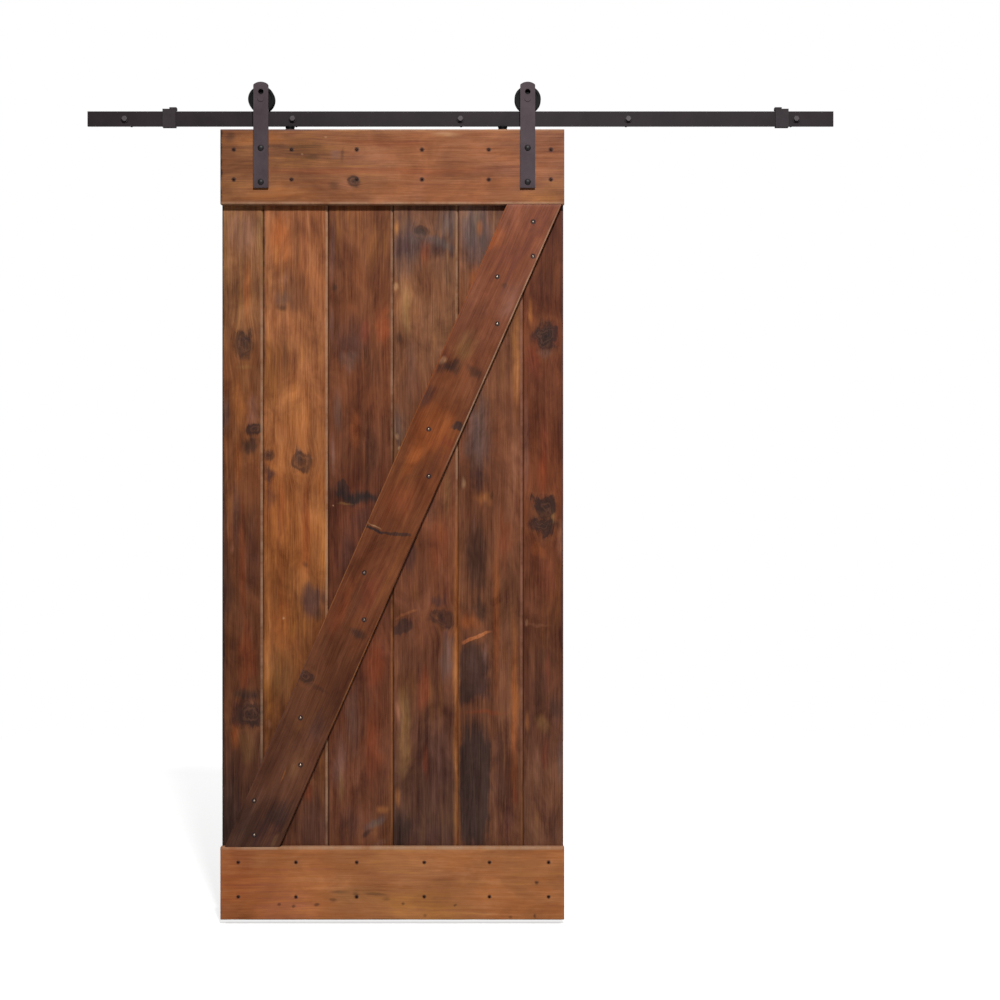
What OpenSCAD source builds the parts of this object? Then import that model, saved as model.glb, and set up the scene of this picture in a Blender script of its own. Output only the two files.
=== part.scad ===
// Sliding barn door on a flat wall rail: a planked door with a Z frame, two strap
// hangers with grooved wheels, and the rail with its standoffs, wall bolts and stops.
// X runs along the rail, +Y points back to the wall and +Z points up.
// The origin is on the axis of the middle wall bolt, where it enters the wall.

/* [Rail] */
// Length of the flat rail
rail_l = 2000; // [1600:10:2400]
// Height of the rail bar
rail_h = 40; // [32:1:50]
// Thickness of the rail bar
rail_t = 6; // [5:0.5:8]
// Distance from the wall to the back of the rail
rail_standoff = 35; // [32:1:60]
// Number of wall bolts
bolt_count = 5; // [3:2:7]
// Distance from each end of the rail to its first wall bolt
bolt_end_inset = 100; // [60:5:150]

/* [Wall fixings] */
// Outer diameter of the standoff tubes
standoff_d = 24; // [18:1:26]
// Diameter of the plain shank of a wall bolt
lag_shank_d = 7.2; // [6:0.1:8]
// Outer diameter of the thread of a wall bolt
lag_thread_d = 8; // [7:0.1:9]
// Length of full thread that enters the wall
lag_thread_l = 45; // [30:1:80]
// Length of the pointed tip of a wall bolt
lag_tip_l = 7; // [4:1:10]
// Width across the flats of the wall bolt head
lag_head_af = 13; // [11:0.5:15]
// Height of the wall bolt head
lag_head_h = 5.5; // [4:0.5:7]
// Outer diameter of the washer under the wall bolt head
lag_washer_d = 22; // [16:1:24]

/* [Rail stops] */
// Length of a stop block along the rail
stop_w = 35; // [30:1:60]
// Wall thickness of a stop block before and behind the rail
stop_wall = 5; // [4:0.5:6]
// Height of a stop block above the rail
stop_rise = 6; // [5:0.5:10]
// Depth of a stop block below the rail
stop_drop = 3; // [2:0.5:6]
// Length of the rubber bumper along the rail
bumper_w = 18.5; // [12:0.5:25]
// Height of the top of the bumper above the rail
bumper_rise = 10; // [8:0.5:18]
// Depth of the seat of the bumper in the block
bumper_seat = 3; // [2:0.5:4]
// Distance from the left end of the rail to the left stop
stop_inset_left = 202; // [130:1:240]
// Distance from the right end of the rail to the right stop
stop_inset_right = 121; // [120:1:240]
// Diameter of the grub screws that hold a stop
set_screw_d = 6; // [4:1:6]

/* [Door] */
// Width of the door over its two level frame boards
door_w = 920; // [700:5:1200]
// Height of the door
door_h = 2115; // [1800:5:2600]
// Thickness of the planks
plank_t = 19; // [15:1:24]
// Visible width of the two edge planks
edge_plank_w = 109; // [85:1:140]
// Width of the bevel along each plank joint
plank_bevel = 3.5; // [1:0.5:5]
// Thickness of the tongue of a plank
tongue_t = 6; // [4:0.5:8]
// Length of the tongue of a plank
tongue_l = 7; // [5:0.5:10]
// Thickness of the three frame boards
frame_t = 19; // [15:1:24]
// Height of the top frame board
top_board_h = 201; // [170:1:250]
// Height of the bottom frame board
bottom_board_h = 195; // [160:1:250]
// How far the level frame boards stand past the planks at each side
frame_overhang = 2; // [0:0.5:5]
// Width of the brace along its level end cuts
brace_cut_w = 147; // [110:1:190]
// Distance from the right edge of the door to the head of the brace
brace_head_inset = 7; // [4:1:40]
// Distance from the left edge of the door to the foot of the brace
brace_foot_inset = 11; // [4:1:40]
// Width of the worn bevel along the front edges of the frame boards
arris = 1.5; // [0.5:0.5:3]

/* [Nails] */
// Diameter of a nail head
nail_head_d = 6.5; // [5:0.5:9]
// Height of the domed nail head
nail_head_h = 1.6; // [1:0.2:3]
// Diameter of the nail shank
nail_shank_d = 3; // [2:0.2:4]
// Length of the nail shank
nail_l = 33; // [26:1:36]
// Distance from the door edge to the outermost nails of the level boards
nail_edge_inset = 36; // [25:1:60]
// Distance from the top of the door to the upper row of nails
nail_top_inset = 55; // [35:1:70]
// Distance between the rows of nails in the top board
nail_top_pitch = 80; // [60:1:110]
// Distance from the bottom of the door to the lower row of nails
nail_bottom_inset = 62; // [30:1:70]
// Distance between the rows of nails in the bottom board
nail_bottom_pitch = 92; // [50:1:110]
// Height between the two brace nails of a middle plank
brace_nail_spread = 126; // [80:1:150]
// Height between the two brace nails of an edge plank
brace_nail_end_spread = 92; // [60:1:110]
// Height of the middle of the two foot nails above the bottom board
brace_nail_foot_rise = 78; // [60:1:110]
// Distance of the middle of the two head nails below the top board
brace_nail_head_drop = 93; // [60:1:110]

/* [Hangers] */
// Width of the hanger strap
strap_w = 40; // [32:1:50]
// Thickness of the hanger strap
strap_t = 6; // [4:0.5:8]
// Height of the strap above the wheel axle
strap_rise = 44; // [38:0.5:60]
// Rise of the arched top end of the strap
strap_arch = 7.5; // [4:0.5:12]
// Corner radius of the top end of the strap
strap_corner_r = 4; // [2:0.5:6]
// Length of the strap that lies on the door
strap_lap = 158; // [140:1:165]
// Distance from the lower end of the strap to its lower bolt
strap_bolt_end = 15.5; // [14:0.5:25]
// Distance between the two bolts of a strap
strap_bolt_pitch = 91; // [70:0.5:100]
// Distance from the left edge of the door to the left strap
strap_inset_left = 109; // [60:1:160]
// Distance from the right edge of the door to the right strap
strap_inset_right = 98; // [60:1:160]
// Distance from the left stop to the left strap where the door is parked
park_gap = 230; // [60:1:400]
// Diameter of the round hole in the head of the strap
strap_eye_d = 14; // [8:1:16]
// Height of that hole above the wheel axle
strap_eye_rise = 17.5; // [16:0.5:28]
// Gap between the bottom of the rail and the top of the door
door_drop = 10; // [8:1:20]

/* [Hanger bolts] */
// Diameter of the bolts that hold a strap to the door
hanger_bolt_d = 8; // [6:1:10]
// Diameter of the domed head of a hanger bolt
hanger_head_d = 17; // [13:0.5:20]
// Height of the domed head of a hanger bolt
hanger_head_h = 5; // [3:0.5:6]
// Diameter of the washer behind the door
hanger_washer_d = 20; // [16:1:26]
// Width across the flats of the nut behind the door
hanger_nut_af = 13; // [10:0.5:17]
// Height of the nut behind the door
hanger_nut_h = 5; // [4:0.5:8]

/* [Wheels] */
// Outer diameter of the wheel flanges
wheel_d = 70.6; // [56:0.2:86]
// Depth of the groove that takes the rail
groove_depth = 4.3; // [3:0.1:6]
// Width of the wheel
wheel_w = 24; // [21:1:28]
// Gap between the wheel and the back of the strap
hub_gap = 2.5; // [1.5:0.5:6]
// Width of the solid rim of the wheel, seen from the front
rim_w = 6.8; // [5:0.2:9]
// Depth of the dished face of the wheel
dish_depth = 3; // [1:0.5:5]
// Radius of the hub of the wheel
hub_r = 17; // [15:0.5:20]
// Diameter of the axle bolt
axle_d = 10; // [8:1:10]
// Diameter of the low round head of the axle bolt
axle_head_d = 18; // [14:0.5:22]
// Height of the head of the axle bolt
axle_head_h = 1.5; // [1:0.5:4]
// Width across the flats of the axle nut
axle_nut_af = 17; // [13:0.5:17]
// Height of the axle nut
axle_nut_h = 8; // [6:0.5:9]

/* [Bearing] */
// Outer diameter of the wheel bearing
bearing_d = 26; // [26:1:30]
// Width of the wheel bearing
bearing_w = 8; // [7:0.5:10]
// Thickness of the bearing rings at the race
ring_t = 2; // [1.8:0.1:2.5]
// Number of balls
ball_count = 8; // [6:1:10]

/* [Anti-jump discs] */
// Diameter of an anti-jump disc
disc_d = 25; // [16:1:28]
// Distance from the left edge of the door to the left disc
disc_inset_left = 185; // [150:1:260]
// Distance from the right edge of the door to the right disc
disc_inset_right = 165; // [130:1:260]
// Length of the wood screw that holds a disc
disc_screw_l = 40; // [25:1:60]

/* [Clearances] */
// Gap between the wheel tread and the top of the rail
tread_gap = 0.3; // [0.2:0.1:1]
// Gap between each wheel flange and the side of the rail
flange_gap = 0.6; // [0.4:0.1:1.5]
// Gap between an anti-jump disc and the bottom of the rail
disc_gap = 0.6; // [0.4:0.1:2]
// Radial gap of a bolt in a drilled hole
hole_gap = 0.3; // [0.2:0.05:0.8]
// Radial gap of a pressed or screwed piece
snug_gap = 0.05; // [0.02:0.01:0.1]
// Gap between neighbouring boards
board_gap = 0.5; // [0.2:0.1:0.9]
// Gap between the bearing balls or shields and each race
race_gap = 0.15; // [0.1:0.05:0.3]

/* [Hidden] */
$fn = 64;

// colours
rail_colour = [0.15, 0.13, 0.14];
strap_colour = [0.27, 0.24, 0.26];
bolt_colour = [0.33, 0.30, 0.30];
steel_colour = [0.62, 0.63, 0.64];
black_colour = [0.07, 0.07, 0.07];
plank_colours = [
    [0.45, 0.29, 0.20], [0.53, 0.34, 0.20], [0.43, 0.26, 0.17],
    [0.40, 0.25, 0.17], [0.39, 0.25, 0.17], [0.40, 0.24, 0.16]
];
frame_colour = [0.60, 0.38, 0.24];
brace_colour = [0.46, 0.28, 0.17];

// standard thicknesses
washer_t = 1.6;
thread_end = 2;

// rail and wall bolts
rail_back_y = -rail_standoff;
rail_front_y = rail_back_y - rail_t;
rail_mid_y = rail_back_y - rail_t / 2;
rail_top_z = rail_h / 2;
bolt_pitch = (rail_l - 2 * bolt_end_inset) / (bolt_count - 1);
bolt_xs = [for (i = [0 : bolt_count - 1]) bolt_end_inset - rail_l / 2 + i * bolt_pitch];
rail_hole_r = lag_thread_d / 2 + hole_gap;
lag_washer_front_y = rail_front_y - washer_t;

// stops
stop_left_x = stop_inset_left - rail_l / 2;
stop_right_x = rail_l / 2 - stop_inset_right;
stop_front_y = rail_front_y - snug_gap - stop_wall;
stop_back_y = rail_back_y + snug_gap + stop_wall;
bumper_proud = 2;
socket_share = 0.5;

// wheels
wheel_r = wheel_d / 2;
tread_r = wheel_r - groove_depth;
wheel_z = rail_top_z + tread_gap + tread_r;
wheel_back_y = rail_mid_y + wheel_w / 2;
axle_r = axle_d / 2;
bearing_r = bearing_d / 2;
bearing_front_y = rail_mid_y - bearing_w / 2;
bearing_back_y = rail_mid_y + bearing_w / 2;
inner_ring_r = axle_r + snug_gap + ring_t;
outer_race_r = bearing_r - ring_t;
ball_r = (outer_race_r - inner_ring_r) / 2 - race_gap;
ball_pitch_r = inner_ring_r + race_gap + ball_r;
shield_t = 0.4;
shield_inset = 0.3;
axle_washer_back_y = bearing_back_y + washer_t;

// hangers and door, from front to back
strap_back_y = rail_mid_y - wheel_w / 2 - hub_gap;
strap_front_y = strap_back_y - strap_t;
plank_front_y = strap_back_y + frame_t;
door_back_y = plank_front_y + plank_t;
hanger_washer_back_y = door_back_y + washer_t;

// hangers and door, from left to right
strap_left_x = stop_left_x + stop_w + park_gap;
door_left_x = strap_left_x - strap_inset_left;
door_right_x = door_left_x + door_w;
door_mid_x = (door_left_x + door_right_x) / 2;
strap_right_x = door_right_x - strap_inset_right;
strap_xs = [strap_left_x, strap_right_x];
disc_left_x = door_left_x + disc_inset_left;
disc_right_x = door_right_x - disc_inset_right;

// hangers and door, from top to bottom
door_top_z = -rail_h / 2 - door_drop;
door_bottom_z = door_top_z - door_h;
top_board_z = door_top_z - top_board_h;
bottom_board_z = door_bottom_z + bottom_board_h;
strap_top_z = wheel_z + strap_rise;
strap_bottom_z = door_top_z - strap_lap;
strap_bolt_zs = [strap_bottom_z + strap_bolt_end, strap_bottom_z + strap_bolt_end + strap_bolt_pitch];

// anti-jump discs and their screws
disc_h = door_drop - disc_gap;
disc_screw_d = 4;
disc_screw_head_d = 8;
disc_screw_head_h = 3;
disc_screw_head_z = disc_h - disc_screw_head_h - hole_gap;

// planks: there is one node for each, and plank i runs from joint i to joint i + 1
plank_count = 6;
planks_left_x = door_left_x + frame_overhang;
planks_right_x = door_right_x - frame_overhang;
mid_plank_w = (planks_right_x - planks_left_x - 2 * edge_plank_w) / (plank_count - 2);
function joint_x(i) =
    i == 0 ? planks_left_x :
    i == plank_count ? planks_right_x :
    planks_left_x + edge_plank_w + (i - 1) * mid_plank_w;
function plank_mid_x(i) = (joint_x(i) + joint_x(i + 1)) / 2;

// brace: its middle line leans to the right by brace_angle
brace_rise = top_board_z - bottom_board_z;
brace_run = door_w - brace_head_inset - brace_foot_inset - brace_cut_w;
brace_angle = atan(brace_run / brace_rise);
brace_w = brace_cut_w * cos(brace_angle);
brace_mid_x = door_left_x + brace_foot_inset + brace_cut_w / 2 + brace_run / 2;
brace_mid_z = (top_board_z + bottom_board_z) / 2;
function brace_line_z(x) = brace_mid_z + (x - brace_mid_x) / tan(brace_angle);

// nails: driven a little off the middle of each plank, and for the brace a little below its middle line
nail_top_offsets = [0, -8, -8, -8, -4, 0];
nail_bottom_offsets = [12, 4, -8, -2, -2, -6];
nail_brace_offsets = [34, 16, 12, 10, 19, -27];
nail_brace_drops = [0, 13, 13, 22, 32, 0];
function level_nail_x(i, offset) =
    i == 0 ? door_left_x + nail_edge_inset + offset :
    i == plank_count - 1 ? door_right_x - nail_edge_inset + offset :
    plank_mid_x(i) + offset;
nail_top_zs = [door_top_z - nail_top_inset, door_top_z - nail_top_inset - nail_top_pitch];
nail_bottom_zs = [door_bottom_z + nail_bottom_inset, door_bottom_z + nail_bottom_inset + nail_bottom_pitch];
top_nail_places = [
    for (i = [0 : plank_count - 1], z = nail_top_zs)
        [level_nail_x(i, nail_top_offsets[i]), z]
];
bottom_nail_places = [
    for (i = [0 : plank_count - 1], z = nail_bottom_zs)
        [level_nail_x(i, nail_bottom_offsets[i]), z]
];
function brace_nail_z(i, x, side) =
    i == 0 ? bottom_board_z + brace_nail_foot_rise + side * brace_nail_end_spread / 2 :
    i == plank_count - 1 ? top_board_z - brace_nail_head_drop + side * brace_nail_end_spread / 2 :
    brace_line_z(x) - nail_brace_drops[i] + side * brace_nail_spread / 2;
brace_nail_places = [
    for (i = [0 : plank_count - 1], side = [-1, 1])
        let (x = plank_mid_x(i) + nail_brace_offsets[i]) [x, brace_nail_z(i, x, side)]
];

// ---- shared shapes ----

// a round bar along Y
module rod(r, from_y, to_y) {
    translate([0, from_y, 0]) rotate([-90, 0, 0]) cylinder(r = r, h = to_y - from_y);
}

// a hexagonal bar along Y
module hex_bar(across_flats, from_y, to_y) {
    translate([0, from_y, 0]) rotate([-90, 0, 0])
        cylinder(d = across_flats / cos(30), h = to_y - from_y, $fn = 6);
}

// a ring along Y
module ring(outer_r, inner_r, from_y, to_y) {
    cut = 1;
    difference() {
        rod(outer_r, from_y, to_y);
        rod(inner_r, from_y - cut, to_y + cut);
    }
}

// a shallow dome that stands out towards -Y from a face at face_y
module dome(r, h, face_y) {
    ball = (r * r + h * h) / (2 * h);
    intersection() {
        translate([0, face_y - h + ball, 0]) rotate([-90, 0, 0]) sphere(r = ball);
        rod(r, face_y - h, face_y);
    }
}

// a hexagonal nut along Y, bored for its bolt
module nut(across_flats, bore_r, from_y, to_y) {
    cut = 1;
    difference() {
        hex_bar(across_flats, from_y, to_y);
        rod(bore_r, from_y - cut, to_y + cut);
    }
}

// ---- rail ----

module rail() {
    cut = 1;
    color(rail_colour) difference() {
        translate([-rail_l / 2, rail_front_y, -rail_h / 2]) cube([rail_l, rail_t, rail_h]);
        for (x = bolt_xs) translate([x, 0, 0]) rod(rail_hole_r, rail_front_y - cut, rail_back_y + cut);
    }
}

module standoffs() {
    color(rail_colour) for (x = bolt_xs)
        translate([x, 0, 0]) ring(standoff_d / 2, rail_hole_r, rail_back_y, 0);
}

module lag_bolts() {
    color(bolt_colour) for (x = bolt_xs) translate([x, 0, 0]) {
        hex_bar(lag_head_af, lag_washer_front_y - lag_head_h, lag_washer_front_y);
        rod(lag_shank_d / 2, lag_washer_front_y, 0);
        rod(lag_thread_d / 2, 0, lag_thread_l);
        translate([0, lag_thread_l, 0]) rotate([-90, 0, 0])
            cylinder(r1 = lag_thread_d / 2, r2 = 0, h = lag_tip_l);
    }
}

module lag_washers() {
    color(bolt_colour) for (x = bolt_xs)
        translate([x, 0, 0]) ring(lag_washer_d / 2, rail_hole_r, lag_washer_front_y, rail_front_y);
}

// ---- stops ----

// places a stop piece drawn with its outer end at x = 0 and its bumper towards +X
module at_left_stop() {
    translate([stop_left_x, 0, 0]) children();
}

module at_right_stop() {
    translate([stop_right_x, 0, 0]) mirror([1, 0, 0]) children();
}

module set_screw_places() {
    for (z = [-rail_h / 4, rail_h / 4]) translate([stop_w / 2, 0, z]) children();
}

module stop_block() {
    cut = 1;
    block_bottom = -rail_h / 2 - stop_drop;
    block_top = rail_top_z + stop_rise;
    slot_y = rail_front_y - snug_gap;
    slot_t = rail_t + 2 * snug_gap;
    slot_h = rail_h + 2 * snug_gap;
    seat_x = stop_w - bumper_w + bumper_proud;
    color(strap_colour) difference() {
        translate([0, stop_front_y, block_bottom])
            cube([stop_w, stop_back_y - stop_front_y, block_top - block_bottom]);
        translate([-cut, slot_y, -slot_h / 2]) cube([stop_w + 2 * cut, slot_t, slot_h]);
        translate([seat_x - snug_gap, stop_front_y - cut, block_top - bumper_seat])
            cube([stop_w, stop_back_y - stop_front_y + 2 * cut, bumper_seat + cut]);
        set_screw_places() rod(set_screw_d / 2 + snug_gap, rail_back_y, stop_back_y + cut);
    }
}

module bumper() {
    seat_z = rail_top_z + stop_rise - bumper_seat;
    color(black_colour) translate([stop_w - bumper_w + bumper_proud, stop_front_y, seat_z])
        cube([bumper_w, stop_back_y - stop_front_y, rail_top_z + bumper_rise - seat_z]);
}

module set_screws() {
    socket_d = set_screw_d * socket_share;
    screw_end = stop_back_y;
    socket_start = screw_end - set_screw_d * socket_share;
    cut = 1;
    color(steel_colour) set_screw_places() difference() {
        rod(set_screw_d / 2, rail_back_y, screw_end);
        hex_bar(socket_d, socket_start, screw_end + cut);
    }
}

module stop_block_left() {
    at_left_stop() stop_block();
}

module stop_block_right() {
    at_right_stop() stop_block();
}

module bumper_left() {
    at_left_stop() bumper();
}

module bumper_right() {
    at_right_stop() bumper();
}

module stop_set_screws() {
    at_left_stop() set_screws();
    at_right_stop() set_screws();
}

// ---- door boards ----

// drilled holes for everything that passes through the boards
module board_holes() {
    cut = 1;
    for (place = concat(top_nail_places, bottom_nail_places, brace_nail_places))
        translate([place[0], 0, place[1]])
            rod(nail_shank_d / 2 + snug_gap, strap_back_y - cut, strap_back_y + nail_l + cut);
    for (x = strap_xs, z = strap_bolt_zs) translate([x, 0, z])
        rod(hanger_bolt_d / 2 + hole_gap, strap_back_y - cut, door_back_y + cut);
    for (x = [disc_left_x, disc_right_x]) translate([x, rail_mid_y, door_top_z - disc_screw_l])
        cylinder(d = disc_screw_d + 2 * snug_gap, h = disc_screw_l + cut);
}

// section of a plank: x runs across it and y from its front to its back
module plank_section(w, has_groove, has_tongue) {
    near_edge = has_groove ? plank_bevel : arris;
    far_edge = has_tongue ? plank_bevel : arris;
    tongue_y = (plank_t - tongue_t) / 2;
    groove_y = tongue_y - board_gap / 2;
    cut = 1;
    difference() {
        union() {
            polygon([
                [near_edge, 0], [w - far_edge, 0], [w, far_edge], [w, plank_t - far_edge],
                [w - far_edge, plank_t], [near_edge, plank_t], [0, plank_t - near_edge], [0, near_edge]
            ]);
            if (has_tongue) translate([w - cut, tongue_y]) square([tongue_l + cut, tongue_t]);
        }
        if (has_groove) translate([-cut, groove_y])
            square([tongue_l + 2 * board_gap + cut, tongue_t + board_gap]);
    }
}

module plank(i) {
    has_groove = i > 0;
    has_tongue = i < plank_count - 1;
    left = joint_x(i) + (has_groove ? board_gap / 2 : 0);
    right = joint_x(i + 1) - (has_tongue ? board_gap / 2 : 0);
    color(plank_colours[i]) difference() {
        translate([left, plank_front_y, door_bottom_z])
            linear_extrude(door_h) plank_section(right - left, has_groove, has_tongue);
        board_holes();
    }
}

// section of a frame board: x runs from its front to its back and y across it
module frame_section(h) {
    polygon([[arris, 0], [frame_t, 0], [frame_t, h], [arris, h], [0, h - arris], [0, arris]]);
}

module level_board(bottom_z, h) {
    color(frame_colour) difference() {
        translate([door_left_x, strap_back_y, bottom_z])
            rotate([90, 0, 90]) linear_extrude(door_w) frame_section(h);
        board_holes();
    }
}

module top_board() {
    level_board(top_board_z, top_board_h);
}

module bottom_board() {
    level_board(door_bottom_z, bottom_board_h);
}

module brace() {
    full_l = brace_rise / cos(brace_angle) + 2 * brace_cut_w;
    cut = 1;
    color(brace_colour) difference() {
        intersection() {
            translate([brace_mid_x, strap_back_y, brace_mid_z]) rotate([0, brace_angle, 0])
                translate([brace_w / 2, 0, -full_l / 2]) rotate([0, 0, 90])
                    linear_extrude(full_l) frame_section(brace_w);
            translate([door_left_x - cut, strap_back_y - cut, bottom_board_z + board_gap / 2])
                cube([door_w + 2 * cut, frame_t + 2 * cut, brace_rise - board_gap]);
        }
        board_holes();
    }
}

// ---- nails ----

module nails(places) {
    color(bolt_colour) for (place = places) translate([place[0], 0, place[1]]) {
        dome(nail_head_d / 2, nail_head_h, strap_back_y);
        rod(nail_shank_d / 2, strap_back_y, strap_back_y + nail_l);
    }
}

module nails_top() {
    nails(top_nail_places);
}

module nails_bottom() {
    nails(bottom_nail_places);
}

module nails_brace() {
    nails(brace_nail_places);
}

// ---- hangers ----

// outline of a strap in the XZ plane, with its wheel axle at the origin
module strap_outline() {
    half_w = strap_w / 2;
    arch_r = (half_w * half_w + strap_arch * strap_arch) / (2 * strap_arch);
    arch_y = strap_rise - arch_r;
    corner_x = half_w - strap_corner_r;
    reach = arch_r - strap_corner_r;
    corner_y = arch_y + sqrt(reach * reach - corner_x * corner_x);
    touch = [corner_x, corner_y - arch_y] * arch_r / reach + [0, arch_y];
    foot_y = strap_bottom_z - wheel_z;
    cut = 1;
    difference() {
        intersection() {
            translate([-half_w, foot_y]) square([strap_w, strap_rise - foot_y]);
            union() {
                translate([0, arch_y]) circle(r = arch_r, $fn = 128);
                translate([-half_w, foot_y]) square([strap_w, arch_y - foot_y]);
            }
        }
        for (side = [0, 1]) mirror([side, 0]) difference() {
            polygon([
                [corner_x, corner_y], [half_w + cut, corner_y],
                [half_w + cut, strap_rise + cut], touch * (1 + cut / norm(touch))
            ]);
            translate([corner_x, corner_y]) circle(r = strap_corner_r);
        }
    }
}

module strap(x) {
    eye_bevel = 1;
    cut = 1;
    color(strap_colour) difference() {
        translate([x, strap_back_y, wheel_z]) rotate([90, 0, 0]) linear_extrude(strap_t) strap_outline();
        translate([x, 0, wheel_z]) rod(axle_r + hole_gap, strap_front_y - cut, strap_back_y + cut);
        translate([x, 0, wheel_z + strap_eye_rise]) {
            rod(strap_eye_d / 2, strap_front_y - cut, strap_back_y + cut);
            translate([0, strap_front_y, 0]) rotate([-90, 0, 0])
                cylinder(r1 = strap_eye_d / 2 + eye_bevel, r2 = strap_eye_d / 2, h = eye_bevel);
        }
        for (z = strap_bolt_zs) translate([x, 0, z])
            rod(hanger_bolt_d / 2 + hole_gap, strap_front_y - cut, strap_back_y + cut);
    }
}

module strap_left() {
    strap(strap_left_x);
}

module strap_right() {
    strap(strap_right_x);
}

module hanger_bolts(x) {
    bolt_end_y = hanger_washer_back_y + hanger_nut_h + thread_end;
    color(bolt_colour) for (z = strap_bolt_zs) translate([x, 0, z]) {
        dome(hanger_head_d / 2, hanger_head_h, strap_front_y);
        rod(hanger_bolt_d / 2, strap_front_y, bolt_end_y);
    }
}

module hanger_bolts_left() {
    hanger_bolts(strap_left_x);
}

module hanger_bolts_right() {
    hanger_bolts(strap_right_x);
}

module hanger_washers() {
    color(steel_colour) for (x = strap_xs, z = strap_bolt_zs) translate([x, 0, z])
        ring(hanger_washer_d / 2, hanger_bolt_d / 2 + hole_gap, door_back_y, hanger_washer_back_y);
}

module hanger_nuts() {
    nut_back_y = hanger_washer_back_y + hanger_nut_h;
    color(steel_colour) for (x = strap_xs, z = strap_bolt_zs) translate([x, 0, z])
        nut(hanger_nut_af, hanger_bolt_d / 2 + snug_gap, hanger_washer_back_y, nut_back_y);
}

// ---- axles ----

module axle_bolt(x) {
    bolt_end_y = axle_washer_back_y + axle_nut_h + thread_end;
    color(strap_colour) translate([x, 0, wheel_z]) {
        rod(axle_head_d / 2, strap_front_y - axle_head_h, strap_front_y);
        rod(axle_r, strap_front_y, bolt_end_y);
    }
}

module axle_spacer(x) {
    color(steel_colour) translate([x, 0, wheel_z])
        ring(inner_ring_r, axle_r + snug_gap, strap_back_y, bearing_front_y);
}

module bearing_inner(x) {
    color(steel_colour) translate([x, 0, wheel_z])
        ring(inner_ring_r, axle_r + snug_gap, bearing_front_y, bearing_back_y);
}

module axle_washer(x) {
    color(steel_colour) translate([x, 0, wheel_z])
        ring(inner_ring_r + 1, axle_r + hole_gap, bearing_back_y, axle_washer_back_y);
}

module axle_nut(x) {
    color(steel_colour) translate([x, 0, wheel_z])
        nut(axle_nut_af, axle_r + snug_gap, axle_washer_back_y, axle_washer_back_y + axle_nut_h);
}

module axle_bolt_left() {
    axle_bolt(strap_left_x);
}

module axle_bolt_right() {
    axle_bolt(strap_right_x);
}

module axle_spacer_left() {
    axle_spacer(strap_left_x);
}

module axle_spacer_right() {
    axle_spacer(strap_right_x);
}

module bearing_inner_left() {
    bearing_inner(strap_left_x);
}

module bearing_inner_right() {
    bearing_inner(strap_right_x);
}

module axle_washer_left() {
    axle_washer(strap_left_x);
}

module axle_washer_right() {
    axle_washer(strap_right_x);
}

module axle_nut_left() {
    axle_nut(strap_left_x);
}

module axle_nut_right() {
    axle_nut(strap_right_x);
}

// ---- wheels ----

// half section of a wheel: x is the radius and y runs along the axle from the middle of the rail
module wheel_section() {
    half_w = wheel_w / 2;
    groove_half = rail_t / 2 + flange_gap;
    groove_flare = groove_depth / 4;
    edge = 1;
    dish_r = wheel_r - rim_w;
    bore_r = bearing_r + snug_gap;
    shoulder_r = outer_race_r - edge;
    polygon([
        [shoulder_r, -half_w], [hub_r, -half_w], [hub_r, dish_depth - half_w],
        [dish_r, dish_depth - half_w], [dish_r, -half_w], [wheel_r - edge, -half_w],
        [wheel_r, edge - half_w], [wheel_r, -groove_half - groove_flare], [tread_r, -groove_half],
        [tread_r, groove_half], [wheel_r, groove_half + groove_flare], [wheel_r, half_w - edge],
        [wheel_r - edge, half_w], [dish_r, half_w], [dish_r, half_w - dish_depth],
        [hub_r, half_w - dish_depth], [hub_r, half_w], [bore_r, half_w],
        [bore_r, -bearing_w / 2], [shoulder_r, -bearing_w / 2]
    ]);
}

// stands a piece drawn around Z, with its middle at z = 0, on an axle
module on_axle(x) {
    translate([x, rail_mid_y, wheel_z]) rotate([-90, 0, 0]) children();
}

module wheel(x) {
    color(black_colour) on_axle(x) rotate_extrude($fn = 96) wheel_section();
}

module bearing_outer(x) {
    color(steel_colour) translate([x, 0, wheel_z])
        ring(bearing_r, outer_race_r, bearing_front_y, bearing_back_y);
}

module bearing_balls(x) {
    color(steel_colour) on_axle(x) for (i = [0 : ball_count - 1])
        rotate([0, 0, i * 360 / ball_count]) translate([ball_pitch_r, 0, 0]) sphere(r = ball_r, $fn = 32);
}

module bearing_shields(x) {
    shield_inner_r = inner_ring_r + race_gap;
    shield_outer_r = outer_race_r - snug_gap;
    front = bearing_front_y + shield_inset;
    back = bearing_back_y - shield_inset;
    color(steel_colour) translate([x, 0, wheel_z]) {
        ring(shield_outer_r, shield_inner_r, front, front + shield_t);
        ring(shield_outer_r, shield_inner_r, back - shield_t, back);
    }
}

module wheel_left() {
    wheel(strap_left_x);
}

module wheel_right() {
    wheel(strap_right_x);
}

module bearing_outer_left() {
    bearing_outer(strap_left_x);
}

module bearing_outer_right() {
    bearing_outer(strap_right_x);
}

module bearing_balls_left() {
    bearing_balls(strap_left_x);
}

module bearing_balls_right() {
    bearing_balls(strap_right_x);
}

module bearing_shields_left() {
    bearing_shields(strap_left_x);
}

module bearing_shields_right() {
    bearing_shields(strap_right_x);
}

// ---- anti-jump discs ----

module anti_jump_disc(x) {
    waist = 2;
    lip_h = disc_h / 3;
    disc_r = disc_d / 2;
    bore_r = disc_screw_d / 2 + hole_gap;
    head_r = disc_screw_head_d / 2 + hole_gap;
    color(black_colour) translate([x, rail_mid_y, door_top_z]) rotate_extrude() polygon([
        [bore_r, 0], [disc_r, 0], [disc_r, lip_h], [disc_r - waist, lip_h],
        [disc_r - waist, disc_h - lip_h], [disc_r, disc_h - lip_h], [disc_r, disc_h],
        [head_r, disc_h], [head_r, disc_h - hole_gap], [bore_r, disc_screw_head_z]
    ]);
}

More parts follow.
